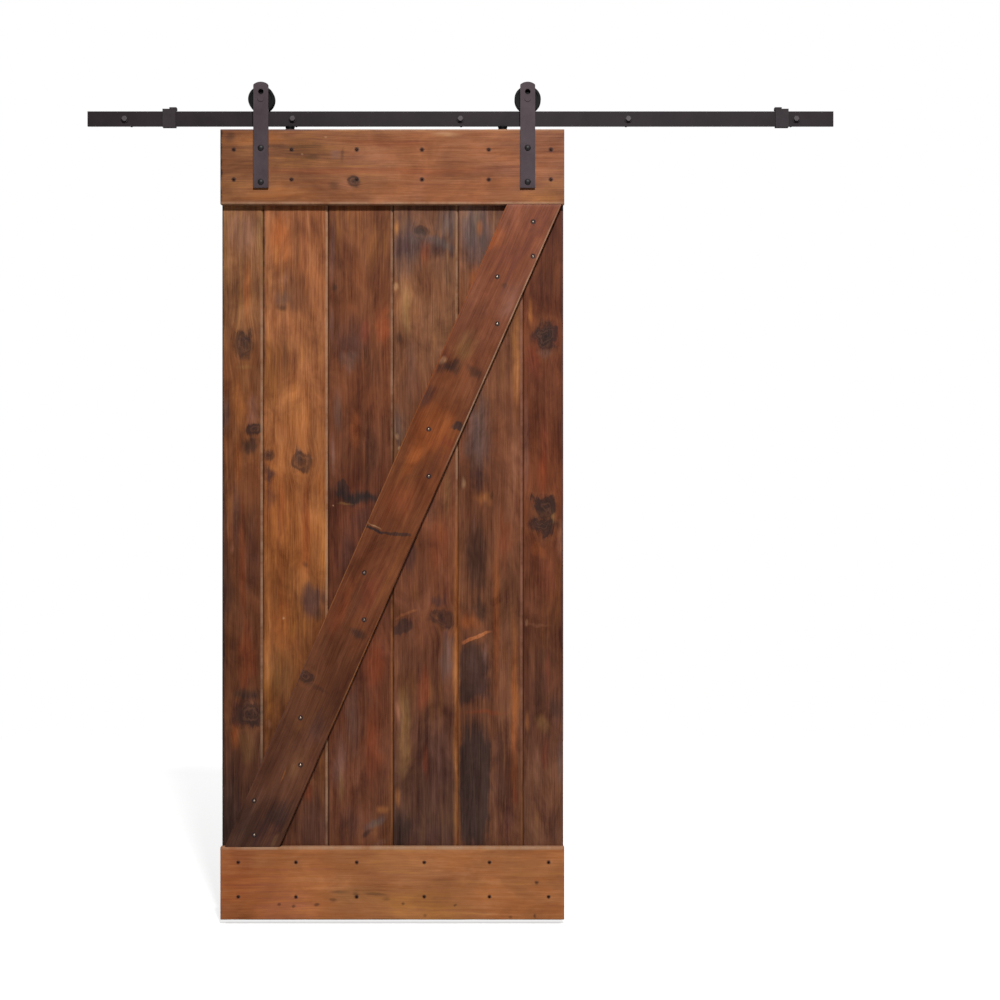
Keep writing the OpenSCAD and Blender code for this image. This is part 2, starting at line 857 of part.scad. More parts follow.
module anti_jump_screws() {
    color(bolt_colour) for (x = [disc_left_x, disc_right_x])
        translate([x, rail_mid_y, door_top_z]) {
            translate([0, 0, -disc_screw_l])
                cylinder(d = disc_screw_d, h = disc_screw_l + disc_screw_head_z);
            translate([0, 0, disc_screw_head_z])
                cylinder(d1 = disc_screw_d, d2 = disc_screw_head_d, h = disc_screw_head_h);
        }
}

module anti_jump_disc_left() {
    anti_jump_disc(disc_left_x);
}

module anti_jump_disc_right() {
    anti_jump_disc(disc_right_x);
}

rail();
standoffs();
lag_bolts();
lag_washers();
stop_block_left();
stop_block_right();
bumper_left();
bumper_right();
stop_set_screws();
plank(0);  // plank_1
plank(1);  // plank_2
plank(2);  // plank_3
plank(3);  // plank_4
plank(4);  // plank_5
plank(5);  // plank_6
top_board();
bottom_board();
brace();
nails_top();
nails_bottom();
nails_brace();
strap_left();
strap_right();
hanger_bolts_left();
hanger_bolts_right();
hanger_washers();
hanger_nuts();
axle_bolt_left();
axle_bolt_right();
axle_spacer_left();
axle_spacer_right();
axle_washer_left();
axle_washer_right();
axle_nut_left();
axle_nut_right();
bearing_inner_left();
bearing_inner_right();
anti_jump_disc_left();
anti_jump_disc_right();
anti_jump_screws();
wheel_left();
wheel_right();
bearing_outer_left();
bearing_outer_right();
bearing_balls_left();
bearing_balls_right();
bearing_shields_left();
bearing_shields_right();
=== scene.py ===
"""Looks of a sliding barn door on its wall rail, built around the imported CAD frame.

All sizes are in metres in the frame's own axes: X along the rail, +Y to the wall, Z up.
Places on a board are given as shares of it: across from its left or lower edge, along from its foot or
left end.
"""

import math
import typing

import bmesh
import bpy
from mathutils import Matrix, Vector, noise


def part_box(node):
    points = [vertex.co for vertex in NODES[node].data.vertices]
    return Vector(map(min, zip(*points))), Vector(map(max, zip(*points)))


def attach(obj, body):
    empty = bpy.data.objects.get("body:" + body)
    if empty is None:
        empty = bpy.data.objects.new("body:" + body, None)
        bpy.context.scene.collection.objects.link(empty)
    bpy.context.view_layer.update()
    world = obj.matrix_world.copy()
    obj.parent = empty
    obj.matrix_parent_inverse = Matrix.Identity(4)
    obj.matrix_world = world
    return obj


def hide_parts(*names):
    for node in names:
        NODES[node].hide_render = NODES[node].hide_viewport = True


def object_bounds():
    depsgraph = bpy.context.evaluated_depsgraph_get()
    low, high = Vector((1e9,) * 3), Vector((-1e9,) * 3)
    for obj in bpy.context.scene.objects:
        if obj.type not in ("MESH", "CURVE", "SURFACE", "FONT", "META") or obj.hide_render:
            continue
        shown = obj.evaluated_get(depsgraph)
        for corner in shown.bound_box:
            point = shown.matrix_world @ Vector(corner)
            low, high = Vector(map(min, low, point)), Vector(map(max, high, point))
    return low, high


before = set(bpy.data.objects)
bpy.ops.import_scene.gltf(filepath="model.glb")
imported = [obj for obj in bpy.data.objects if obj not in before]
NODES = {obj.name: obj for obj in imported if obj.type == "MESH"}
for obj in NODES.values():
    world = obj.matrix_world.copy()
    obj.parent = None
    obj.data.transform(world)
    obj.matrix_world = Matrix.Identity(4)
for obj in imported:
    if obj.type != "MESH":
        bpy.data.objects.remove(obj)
cad_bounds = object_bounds()

MM = 0.001
SIDES = ("left", "right")


# ---- colours ----

def tone(red, green, blue):
    """A colour named by its eight-bit screen values, as linear light."""
    def linear(value):
        value /= 255
        return value / 12.92 if value <= 0.04045 else ((value + 0.055) / 1.055) ** 2.4
    return (linear(red), linear(green), linear(blue), 1.0)


# ---- shader building ----

class Shader:
    """A material whose nodes are made by short calls. A value may be a number or another node's socket."""

    def __init__(self, name):
        self.material = bpy.data.materials.new(name)
        self.material.use_nodes = True
        self.tree = self.material.node_tree
        self.tree.nodes.clear()
        self.surface = self.tree.nodes.new("ShaderNodeBsdfPrincipled")
        output = self.tree.nodes.new("ShaderNodeOutputMaterial")
        self.tree.links.new(self.surface.outputs["BSDF"], output.inputs["Surface"])
        coordinates = self.tree.nodes.new("ShaderNodeTexCoord")
        self.place = coordinates.outputs["Object"]

    def feed(self, socket, value):
        if isinstance(value, bpy.types.NodeSocket):
            self.tree.links.new(value, socket)
        else:
            socket.default_value = value

    def math(self, operation, first, second=0.0, third=0.0):
        node = self.tree.nodes.new("ShaderNodeMath")
        node.operation = operation
        for socket, value in zip(node.inputs, (first, second, third)):
            self.feed(socket, value)
        return node.outputs[0]

    def times(self, first, second):
        return self.math("MULTIPLY", first, second)

    def vector(self, operation, first, second=(0.0, 0.0, 0.0)):
        node = self.tree.nodes.new("ShaderNodeVectorMath")
        node.operation = operation
        self.feed(node.inputs[0], first)
        self.feed(node.inputs[1], second)
        return node.outputs["Value" if operation in ("LENGTH", "DOT_PRODUCT") else "Vector"]

    def join(self, x, y, z):
        node = self.tree.nodes.new("ShaderNodeCombineXYZ")
        for socket, value in zip(node.inputs, (x, y, z)):
            self.feed(socket, value)
        return node.outputs[0]

    def remap(self, value, low, high, to_low=0.0, to_high=1.0):
        """Carries low..high smoothly to to_low..to_high; low may lie above high."""
        node = self.tree.nodes.new("ShaderNodeMapRange")
        node.interpolation_type = "SMOOTHSTEP"
        if low > high:
            low, high, to_low, to_high = high, low, to_high, to_low
        for socket, number in zip(node.inputs, (value, low, high, to_low, to_high)):
            self.feed(socket, number)
        return node.outputs[0]

    def noise(self, vector, detail=3.0, roughness=0.55, distortion=0.0, colour=False):
        node = self.tree.nodes.new("ShaderNodeTexNoise")
        self.feed(node.inputs["Vector"], vector)
        for name, value in (("Scale", 1.0), ("Detail", detail), ("Roughness", roughness),
                            ("Distortion", distortion)):
            node.inputs[name].default_value = value
        return node.outputs[1 if colour else 0]

    def mix(self, share, first, second, blend="MIX"):
        node = self.tree.nodes.new("ShaderNodeMix")
        node.data_type = "RGBA"
        node.blend_type = blend
        node.clamp_factor = True
        self.feed(node.inputs["Factor"], share)
        self.feed(node.inputs[6], first)
        self.feed(node.inputs[7], second)
        return node.outputs[2]

    def ramp(self, value, stops):
        node = self.tree.nodes.new("ShaderNodeValToRGB")
        self.feed(node.inputs[0], value)
        elements = node.color_ramp.elements
        while len(elements) < len(stops):
            elements.new(0.5)
        for element, (position, colour) in zip(elements, stops):
            element.position = position
            element.color = colour
        return node.outputs[0]

    def bump(self, height, distance, strength):
        node = self.tree.nodes.new("ShaderNodeBump")
        node.inputs["Strength"].default_value = strength
        node.inputs["Distance"].default_value = distance
        self.feed(node.inputs["Height"], height)
        return node.outputs[0]

    def set(self, **values):
        names = {"colour": "Base Color", "rough": "Roughness", "metal": "Metallic", "normal": "Normal",
                 "specular": "Specular IOR Level"}
        for key, value in values.items():
            self.feed(self.surface.inputs[names[key]], value)
        return self.material


# ---- stained wood ----

# Colours of stains, dirt and wear, also used for the painted highlight and painted shade along board edges
# and for a few patches of painted shade.
STAIN_AND_PAINTED_LIGHT_COLOURS = {
    "dark": tone(58, 38, 32),
    "black": tone(40, 32, 34),
    "grey": tone(90, 76, 78),
    "olive": tone(136, 104, 68),
    "pale": tone(176, 140, 112),
    "light": tone(164, 106, 62),
    "orange": tone(168, 92, 44),
    "red": tone(104, 46, 34),
    "pink": tone(150, 100, 80),
    "rust": tone(140, 64, 36),
    "mauve": tone(116, 84, 80),
    "violet": tone(68, 45, 46),
    "soot": tone(46, 37, 40),
    "scar": tone(156, 96, 64),
}
KNOT_RIM = tone(40, 27, 25)
KNOT_INSIDE = tone(90, 62, 49)
KNOT_HALO = tone(140, 86, 52)
HUES = ((0.25, (0.93, 0.86, 0.98, 1)), (0.4, (0.93, 0.86, 0.71, 1)), (0.55, (0.88, 0.89, 0.91, 1)),
        (0.72, (0.9, 0.93, 0.7, 1)))
SHADES = ((0.0, (0.24, 0.19, 0.2, 1)), (0.5, (0.58, 0.58, 0.6, 1)), (1.0, (1.0, 1.06, 1.14, 1)))
BRIGHTEST = (2.0, 1.87, 1.56)
KNOT_REACH = 2.6
GRAIN_BEND = 0.72
SMALL_MARK = 32
CRISP_STAINS = ("soot", "scar")


class Mark(typing.NamedTuple):
    """A stain or knot: shares across and along the board, sizes in mm, and a turn in degrees."""
    kind: str
    across: float
    along: float
    width: float
    length: float
    strength: float
    turn: float = 0.0


class Board:
    """How one board lies: the ways along and across it, and where its own corner is."""

    def __init__(self, node, along=(0, 0, 1), across=(1, 0, 0), corner=None, size=None):
        low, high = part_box(node)
        self.along = Vector(along)
        self.across = Vector(across)
        self.corner = Vector(corner) if corner else low
        reach = high - low
        self.width, self.length = size or (abs(reach.dot(self.across)), abs(reach.dot(self.along)))


class Grain:
    """The fields of a wood shader: places on the board and noise drawn out along its fibres."""

    def __init__(self, s, board, seed, knots, heart):
        local = s.vector("SUBTRACT", s.place, tuple(board.corner))
        self.s, self.board, self.seed = s, board, seed
        self.across = s.vector("DOT_PRODUCT", local, tuple(board.across))
        self.along = s.vector("DOT_PRODUCT", local, tuple(board.along))
        self.depth = s.vector("DOT_PRODUCT", local, (0.0, 1.0, 0.0))
        self.flat = s.join(self.across, 0.0, self.along)
        coarse = s.vector("SUBTRACT", self.field(self.across, 15, 8, 10, detail=2, colour=True), (0.5,) * 3)
        fine = s.vector("SUBTRACT", self.field(self.across, 60, 30, 38, detail=3, colour=True), (0.5,) * 3)
        push = s.vector("ADD", s.vector("MULTIPLY", coarse, (0.05, 0.0, 0.09)),
                        s.vector("MULTIPLY", fine, (0.016, 0.0, 0.03)))
        self.swayed = s.vector("ADD", self.flat, push)
        self.nudged = s.vector("ADD", self.flat, s.vector("MULTIPLY", push, (0.3,) * 3))
        self.wander = s.math("SUBTRACT", self.field(self.across, 6, 3, 1.8, detail=2), 0.5)

        # fibres run round the knots
        bent = self.across
        for knot in knots:
            middle = (knot.across * board.width, 0.0, knot.along * board.length)
            offset = s.vector("SUBTRACT", self.flat, middle)
            spread = s.vector("MULTIPLY", offset, (2 / (knot.width * MM), 0.0, 1.4 / (knot.length * MM)))
            near = s.remap(s.vector("LENGTH", spread), KNOT_REACH, 0.0, 0.0, GRAIN_BEND)
            aside = s.math("SUBTRACT", self.across, middle[0])
            bent = s.math("SUBTRACT", bent, s.times(aside, near))
        self.bent = s.math("ADD", bent, s.times(self.wander, 0.03))

        self.fibre = self.field(self.bent, 420, 420, 11, detail=5, roughness=0.72)
        self.streak = self.field(self.bent, 85, 60, 2.6, detail=4, roughness=0.62)
        self.cloud = self.field(self.across, 15, 9, 6.5, detail=4, roughness=0.62, distortion=0.5)
        self.wash = self.field(self.across, 6, 4, 3.1, detail=3, roughness=0.6)
        self.wobble = self.field(self.across, 48, 20, 30, detail=3)
        self.ring = self.rings(heart)

    def field(self, across, by_across, by_depth, by_along, detail=3, roughness=0.55, distortion=0.0,
              colour=False):
        s = self.s
        place = s.join(s.math("MULTIPLY_ADD", across, by_across, self.seed),
                       s.times(self.depth, by_depth),
                       s.math("MULTIPLY_ADD", self.along, by_along, 1.7 * self.seed))
        return s.noise(place, detail, roughness, distortion=distortion, colour=colour)

    def rings(self, heart):
        """Late wood of the growth rings: dark lines where the distance from the heart passes a year."""
        s = self.s
        side = s.math("SUBTRACT", self.bent, heart * self.board.width)
        heart_depth, years_per_metre = 0.06, 120.0
        behind = s.math("ADD", self.depth, heart_depth)
        squares = s.math("ADD", s.times(side, side), s.times(behind, behind))
        radius = s.math("SQRT", squares)
        uneven = s.math("MULTIPLY_ADD", self.streak, 0.012, radius)
        uneven = s.math("MULTIPLY_ADD", self.along, 0.015, uneven)
        year = s.math("FRACT", s.times(uneven, years_per_metre))
        return s.times(s.remap(year, 0.3, 0.85), s.remap(year, 1.0, 0.88))

    def reach(self, mark):
        """Distance from a mark's middle, 1 at its rim. Small marks keep nearer to their place and shape."""
        s = self.s
        place = self.nudged if min(mark.width, mark.length) < SMALL_MARK else self.swayed
        middle = (mark.across * self.board.width, 0.0, mark.along * self.board.length)
        offset = s.vector("SUBTRACT", place, middle)
        turn = math.radians(mark.turn)
        side = s.vector("DOT_PRODUCT", offset, (math.cos(turn), 0.0, math.sin(turn)))
        ahead = s.vector("DOT_PRODUCT", offset, (-math.sin(turn), 0.0, math.cos(turn)))
        side = s.math("ABSOLUTE", s.times(side, 2 / (mark.width * MM)))
        ahead = s.math("ABSOLUTE", s.times(ahead, 2 / (mark.length * MM)))
        squareness = 4.0 if mark.kind in CRISP_STAINS else 2.0
        powers = s.math("ADD", s.math("POWER", side, squareness), s.math("POWER", ahead, squareness))
        return s.math("POWER", powers, 1 / squareness)


def centred(s, field, amount):
    return s.times(s.math("SUBTRACT", field, 0.5), amount)


def total(s, *terms):
    result = terms[0]
    for term in terms[1:]:
        result = s.math("ADD", result, term)
    return result


def band(s, value, middle, half):
    """1 at middle, falling to 0 at half on either side."""
    return s.remap(s.math("ABSOLUTE", s.math("SUBTRACT", value, middle)), half, 0.0)


def stain_and_shade_mark(s, grain, mark, colour):
    """A patch of colour, drawn out along the fibres, with a soft or a crisp rim. Most patches are stains; a
    few in the tables are painted shade.
    """
    if mark.kind in CRISP_STAINS:
        rough = total(s, grain.reach(mark), centred(s, grain.streak, 0.5), centred(s, grain.fibre, 0.35))
        cover = s.remap(rough, 1.08, 0.72, 0.0, mark.strength)
    else:
        rough = total(s, grain.reach(mark), centred(s, grain.streak, 1.6), centred(s, grain.fibre, 0.7))
        cover = s.remap(rough, 1.35, 0.25, 0.0, mark.strength)
    return s.mix(cover, colour, STAIN_AND_PAINTED_LIGHT_COLOURS[mark.kind])


def knot_mark(s, grain, mark, colour):
    """A knot: an uneven dark patch with faint rings, a broken dark outline and a slightly paler halo."""
    rim = total(s, grain.reach(mark), centred(s, grain.wobble, 1.3), centred(s, grain.fibre, 0.9))
    halo = s.times(band(s, rim, 1.7, 0.6), 0.16 * mark.strength)
    colour = s.mix(halo, colour, KNOT_HALO)
    years = s.math("FRACT", s.times(rim, 2.7))
    pale = s.times(band(s, years, 0.5, 0.5), s.remap(grain.streak, 0.38, 0.56, 0.2, 0.75))
    inside = s.mix(pale, KNOT_RIM, KNOT_INSIDE)
    colour = s.mix(s.remap(rim, 1.7, 0.6, 0.0, 0.8 * mark.strength), colour, inside)
    outline = s.times(band(s, rim, 0.95, 0.4), s.remap(grain.cloud, 0.4, 0.58))
    colour = s.mix(s.times(outline, 0.8 * mark.strength), colour, KNOT_RIM)
    return s.mix(s.remap(rim, 0.55, 0.0, 0.0, 0.8 * mark.strength), colour, KNOT_RIM)


def edge_lines(s, grain, edges, colour):
    """Light and dark lines along the long edges, each over its own share of the length. They are partly
    wear and dirt, and partly painted highlight on edges that face the key light and painted shade on edges
    that face away from it.
    """
    breaks = grain.field(0.0, 1, 0, 14, detail=4, roughness=0.7)
    share = s.times(grain.along, 1 / grain.board.length)
    fade = 0.05
    for side, kind, width, strength, start, end in edges:
        gap = s.math("ABSOLUTE", s.math("SUBTRACT", grain.across, side * grain.board.width))
        line = s.times(s.remap(gap, width * MM, 0.4 * width * MM),
                      s.remap(breaks, 0.3, 0.6, 0.25, 1.0))
        reach = s.times(s.remap(share, start - fade, start + fade),
                       s.remap(share, end + fade, end - fade))
        colour = s.mix(s.times(s.times(line, reach), strength), colour, STAIN_AND_PAINTED_LIGHT_COLOURS[kind])
    return colour


def nail_dirt(s, grain, nails, dirt, colour):
    """Dark rings of dirt and bruised wood round the nail heads."""
    nearest = 1.0
    for place in nails:
        offset = place - grain.board.corner
        middle = (offset.dot(grain.board.across), 0.0, offset.dot(grain.board.along))
        gap = s.vector("LENGTH", s.vector("SUBTRACT", grain.flat, middle))
        nearest = s.math("MINIMUM", gap, nearest)
    reach, strength = dirt
    ragged = s.math("ADD", nearest, centred(s, grain.fibre, 6 * MM))
    return s.mix(s.remap(ragged, reach * MM, 0.55 * reach * MM, 0.0, strength), colour, STAIN_AND_PAINTED_LIGHT_COLOURS["black"])


def wood(name, board, seed, tones, marks, edges, heart=0.5, contrast=1.0, nails=(), dirt=(10, 0.8)):
    """Stained softwood. tones: (share along, red, green, blue) of plain wood. marks: each Mark's values.
    edges: lines along the long edges (side 0 or 1, kind, width mm, strength, from share, to share).
    nails: places whose heads have dirt round them. dirt: its reach in mm and its strength."""
    s = Shader(name)
    marks = [Mark(*values) for values in marks]
    knots = [mark for mark in marks if mark.kind == "knot"]
    grain = Grain(s, board, seed, knots, heart)

    share = s.math("MULTIPLY_ADD", grain.along, 1 / board.length, centred(s, grain.wash, 0.25))
    plain = s.ramp(share, [(place, tone(*colour)) for place, *colour in tones])
    for mark in marks:
        if mark not in knots:
            plain = stain_and_shade_mark(s, grain, mark, plain)
    hue = s.ramp(total(s, grain.wash, centred(s, grain.streak, 0.7), centred(s, grain.fibre, 0.4)), HUES)
    shade = total(s, 0.5, centred(s, grain.fibre, 1.4 * contrast),
                  centred(s, grain.streak, 0.95 * contrast), centred(s, grain.cloud, 1.8 * contrast),
                  s.times(grain.ring, -0.07 * contrast))
    colour = s.mix(1.0, plain, hue, blend="MULTIPLY")
    colour = s.mix(1.0, colour, s.ramp(shade, SHADES), blend="MULTIPLY")
    colour = s.vector("MULTIPLY", colour, BRIGHTEST)

    for mark in knots:
        colour = knot_mark(s, grain, mark, colour)
    colour = edge_lines(s, grain, edges, colour)
    if nails:
        colour = nail_dirt(s, grain, nails, dirt, colour)

    height = total(s, s.times(grain.fibre, 0.5), s.times(grain.streak, 0.4),
                   s.times(grain.ring, -0.12))
    rough = total(s, 0.54, centred(s, grain.streak, -0.3), centred(s, grain.fibre, 0.3),
                  centred(s, grain.cloud, 0.2))
    return s.set(colour=colour, rough=rough, specular=0.14, normal=s.bump(height, 0.5 * MM, 0.5))


# ---- metal, nylon and rubber ----

def coated(name, colour, rough, relief=0.12, specular=0.13):
    """Powder-coated steel: a fine pebbled skin, a little uneven in colour and gloss."""
    s = Shader(name)
    pebble = s.noise(s.vector("MULTIPLY", s.place, (900.0,) * 3), detail=2.0)
    patch = s.noise(s.vector("MULTIPLY", s.place, (14.0,) * 3), detail=4.0, roughness=0.65)
    dull = tuple(0.78 * c for c in colour[:3]) + (1.0,)
    bright = tuple(1.2 * c for c in colour[:3]) + (1.0,)
    shade = s.math("MULTIPLY_ADD", pebble, 0.35, s.times(patch, 0.65))
    return s.set(colour=s.mix(s.remap(shade, 0.3, 0.7), dull, bright),
                 rough=s.math("MULTIPLY_ADD", patch, 0.16, rough - 0.08), specular=specular,
                 normal=s.bump(pebble, relief * MM, 0.6))


def plated(name, colour, rough):
    """Bare or zinc-plated steel with fine turning marks and dull spots."""
    s = Shader(name)
    brushed = s.noise(s.vector("MULTIPLY", s.place, (260.0, 1900.0, 260.0)), detail=3.0)
    patch = s.noise(s.vector("MULTIPLY", s.place, (120.0,) * 3), detail=4.0, roughness=0.7)
    dull = tuple(0.55 * c for c in colour[:3]) + (1.0,)
    return s.set(colour=s.mix(s.remap(patch, 0.35, 0.62), dull, colour), metal=0.9,
                 rough=s.math("MULTIPLY_ADD", brushed, 0.22, rough - 0.1),
                 normal=s.bump(brushed, 0.04 * MM, 0.5))


def moulded(name, colour, rough):
    """Nylon or rubber: an even, slightly clouded skin with handling scuffs."""
    s = Shader(name)
    skin = s.noise(s.vector("MULTIPLY", s.place, (420.0,) * 3), detail=3.0)
    scuff = s.noise(s.vector("MULTIPLY", s.place, (60.0, 240.0, 60.0)), detail=5.0, roughness=0.7)
    worn = tuple(1.6 * c for c in colour[:3]) + (1.0,)
    return s.set(colour=s.mix(s.remap(scuff, 0.55, 0.78, 0.0, 0.6), colour, worn),
                 rough=s.math("MULTIPLY_ADD", scuff, 0.25, rough - 0.12), specular=0.1,
                 normal=s.bump(skin, 0.06 * MM, 0.5))


# ---- objects ----

def placed(name, data):
    """A new object in the scene."""
    thing = bpy.data.objects.new(name, data)
    bpy.context.scene.collection.objects.link(thing)
    return thing


def smooth_piece(mesh, work, sharp_degrees):
    """An object of a worked mesh, smooth but for its sharp edges."""
    bmesh.ops.recalc_face_normals(work, faces=work.faces)
    work.to_mesh(mesh)
    work.free()
    mesh.polygons.foreach_set("use_smooth", [True] * len(mesh.polygons))
    mesh.set_sharp_from_angle(angle=math.radians(sharp_degrees))
    return placed(mesh.name, mesh)


# ---- boards ----

def piece_places(node):
    """The middle of each separate small piece in a CAD node."""
    reach = 30 * MM
    groups = []
    for vertex in NODES[node].data.vertices:
        near = [g for g in groups if math.hypot(g[0].x - vertex.co.x, g[0].z - vertex.co.z) < reach]
        if near:
            near[0].append(vertex.co)
        else:
            groups.append([vertex.co])
    middles = []
    for group in groups:
        low, high = (Vector([pick(place[i] for place in group) for i in range(3)]) for pick in (min, max))
        middles.append((low + high) / 2)
    return middles


def sampled(start, end, step):
    """Points from start up to, but not at, end."""
    start, end = Vector(start), Vector(end)
    count = max(1, round((end - start).length / step))
    return [start.lerp(end, i / count) for i in range(count)]


def outline(corners, step):
    """A closed outline through corners, sampled finely enough to carry surface relief."""
    points = []
    for corner, following in zip(corners, corners[1:] + corners[:1]):
        points += sampled(corner, following, step)
    return points


def outward(points):
    """Outward direction at each point of an outline that runs clockwise as seen along the board."""
    normals = []
    for i, point in enumerate(points):
        run = points[(i + 1) % len(points)] - points[i - 1]
        normals.append(Vector((run.y, -run.x)).normalized())
    return normals


def relief(across, depth, along, seed):
    """How far a board's surface lies below its flat face: broad waves, saw ripple and small dents."""
    wave = noise.noise(Vector((across * 9, along * 2.5, seed)))
    ripple = noise.noise(Vector((across * 70, depth * 70, along * 14 + seed)))
    dent = noise.noise(Vector((across * 34, along * 34, seed + depth * 34)))
    return MM * (0.16 + 0.12 * wave + 0.07 * ripple + 0.35 * max(0.0, dent - 0.45))


def board_mesh(name, corners, start, end, place, seed, worn):
    """Sweeps an outline from start to end. place(across, depth, along) gives the point in the frame. worn
    holds the corners that the years have rounded."""
    step, ring_step, same_place = 6 * MM, 9 * MM, 0.6 * MM
    end_share = 0.0015
    points = outline([Vector(c) for c in corners], step)
    normals = outward(points)
    worn = [Vector(c) for c in worn]
    count = round(max(end(p) - start(p) for p in points) / ring_step)
    shares = [0.0, end_share] + [i / count for i in range(1, count)] + [1 - end_share, 1.0]
    vertices = []
    for share in shares:
        end_round = 0.7 * MM if share in (0.0, 1.0) else 0.0
        for point, normal in zip(points, normals):
            along = start(point) + (end(point) - start(point)) * share
            sink = relief(point.x, point.y, along, seed) + end_round
            if any((point - corner).length < same_place for corner in worn):
                chip = noise.noise(Vector((along * 11, point.x * 40, seed + 7)))
                sink += MM * (0.25 + 1.1 * max(0.0, chip - 0.1))
            moved = point - normal * sink
            vertices.append(place(moved.x, moved.y, along))
    size = len(points)
    faces = []
    for r in range(len(shares) - 1):
        for i in range(size):
            j = (i + 1) % size
            faces.append((r * size + i, r * size + j, (r + 1) * size + j, (r + 1) * size + i))
    faces.append(tuple(reversed(range(size))))
    faces.append(tuple(range((len(shares) - 1) * size, len(shares) * size)))
    mesh = bpy.data.meshes.new(name)
    mesh.from_pydata(vertices, [], faces)
    mesh.validate()
    work = bmesh.new()
    work.from_mesh(mesh)
    return smooth_piece(mesh, work, sharp_degrees=28)


def finish_board(piece, node, material):
    piece.data.materials.append(material)
    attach(piece, "door")
    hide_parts(node)


PLANK_COUNT = 6
BEVEL = 3.5 * MM
TONGUE_T = 6 * MM
TONGUE_L = 7 * MM
GROOVE_GAP = 0.25 * MM
ARRIS = 1.5 * MM


def plank(number, material):
    """A tongued and grooved plank with bevelled joints."""
    node = f"plank_{number}"
    low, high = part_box(node)
    grooved = number > 1
    tongued = number < PLANK_COUNT
    width = high.x - low.x - (TONGUE_L if tongued else 0)
    thick = high.y - low.y
    near = BEVEL if grooved else ARRIS
    far = BEVEL if tongued else ARRIS
    t0 = (thick - TONGUE_T) / 2
    t1 = (thick + TONGUE_T) / 2
    corners = [(near, 0), (width - far, 0), (width, far)]
    if tongued:
        corners += [(width, t0), (width + TONGUE_L, t0), (width + TONGUE_L, t1), (width, t1)]
    corners += [(width, thick - far), (width - far, thick), (near, thick), (0, thick - near)]
    if grooved:
        inner = TONGUE_L + 4 * GROOVE_GAP
        corners += [(0, t1 + GROOVE_GAP), (inner, t1 + GROOVE_GAP)]
        corners += [(inner, t0 - GROOVE_GAP), (0, t0 - GROOVE_GAP)]
    corners += [(0, near)]
    worn = [(near, 0), (width - far, 0), (width - far, thick), (near, thick)]
    piece = board_mesh(
        f"{node}_wood", corners, lambda p: low.z, lambda p: high.z,
        lambda a, d, l: (low.x + a, low.y + d, l), seed=number * 11.3, worn=worn)
    finish_board(piece, node, material)


def frame_outline(width, thick):
    """A frame board's corners and the worn ones among them, with its front edges rounded off by wear."""
    worn = [(ARRIS, 0), (width - ARRIS, 0), (width, ARRIS), (0, ARRIS)]
    return worn[:3] + [(width, thick), (0, thick)] + worn[3:], worn


def level_board(node, seed, material):
    """The top or bottom board."""
    low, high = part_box(node)
    corners, worn = frame_outline(high.z - low.z, high.y - low.y)
    piece = board_mesh(
        f"{node}_wood", corners, lambda p: low.x, lambda p: high.x,
        lambda a, d, l: (l, low.y + d, low.z + a), seed=seed, worn=worn)
    finish_board(piece, node, material)


class BraceLine:
    """The brace's middle line, from its two level end cuts and its width along them."""

    def __init__(self, cut_width):
        self.low, self.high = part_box("brace")
        rise = self.high.z - self.low.z
        run = self.high.x - self.low.x - cut_width
        self.angle = math.atan2(run, rise)
        self.middle = (self.low + self.high) / 2
        self.width = cut_width * math.cos(self.angle)
        self.along = Vector((math.sin(self.angle), 0, math.cos(self.angle)))
        self.across = Vector((math.cos(self.angle), 0, -math.sin(self.angle)))

    def cut(self, across, level):
        """Place along the brace where the line at that distance across reaches a level."""
        offset = across - self.width / 2
        return (level - self.middle.z - offset * self.across.z) / self.along.z

    def point(self, across, depth, along):
        foot = Vector((self.middle.x, self.low.y + depth, self.middle.z))
        return foot + self.across * (across - self.width / 2) + self.along * along


def brace_board(line, material):
    corners, worn = frame_outline(line.width, line.high.y - line.low.y)
    piece = board_mesh(
        "brace_wood", corners, lambda p: line.cut(p.x, line.low.z), lambda p: line.cut(p.x, line.high.z),
        line.point, seed=91.0, worn=worn)
    finish_board(piece, "brace", material)


# ---- the boards' looks: stains, knots, wear, and painted highlight and shade along some edges ----

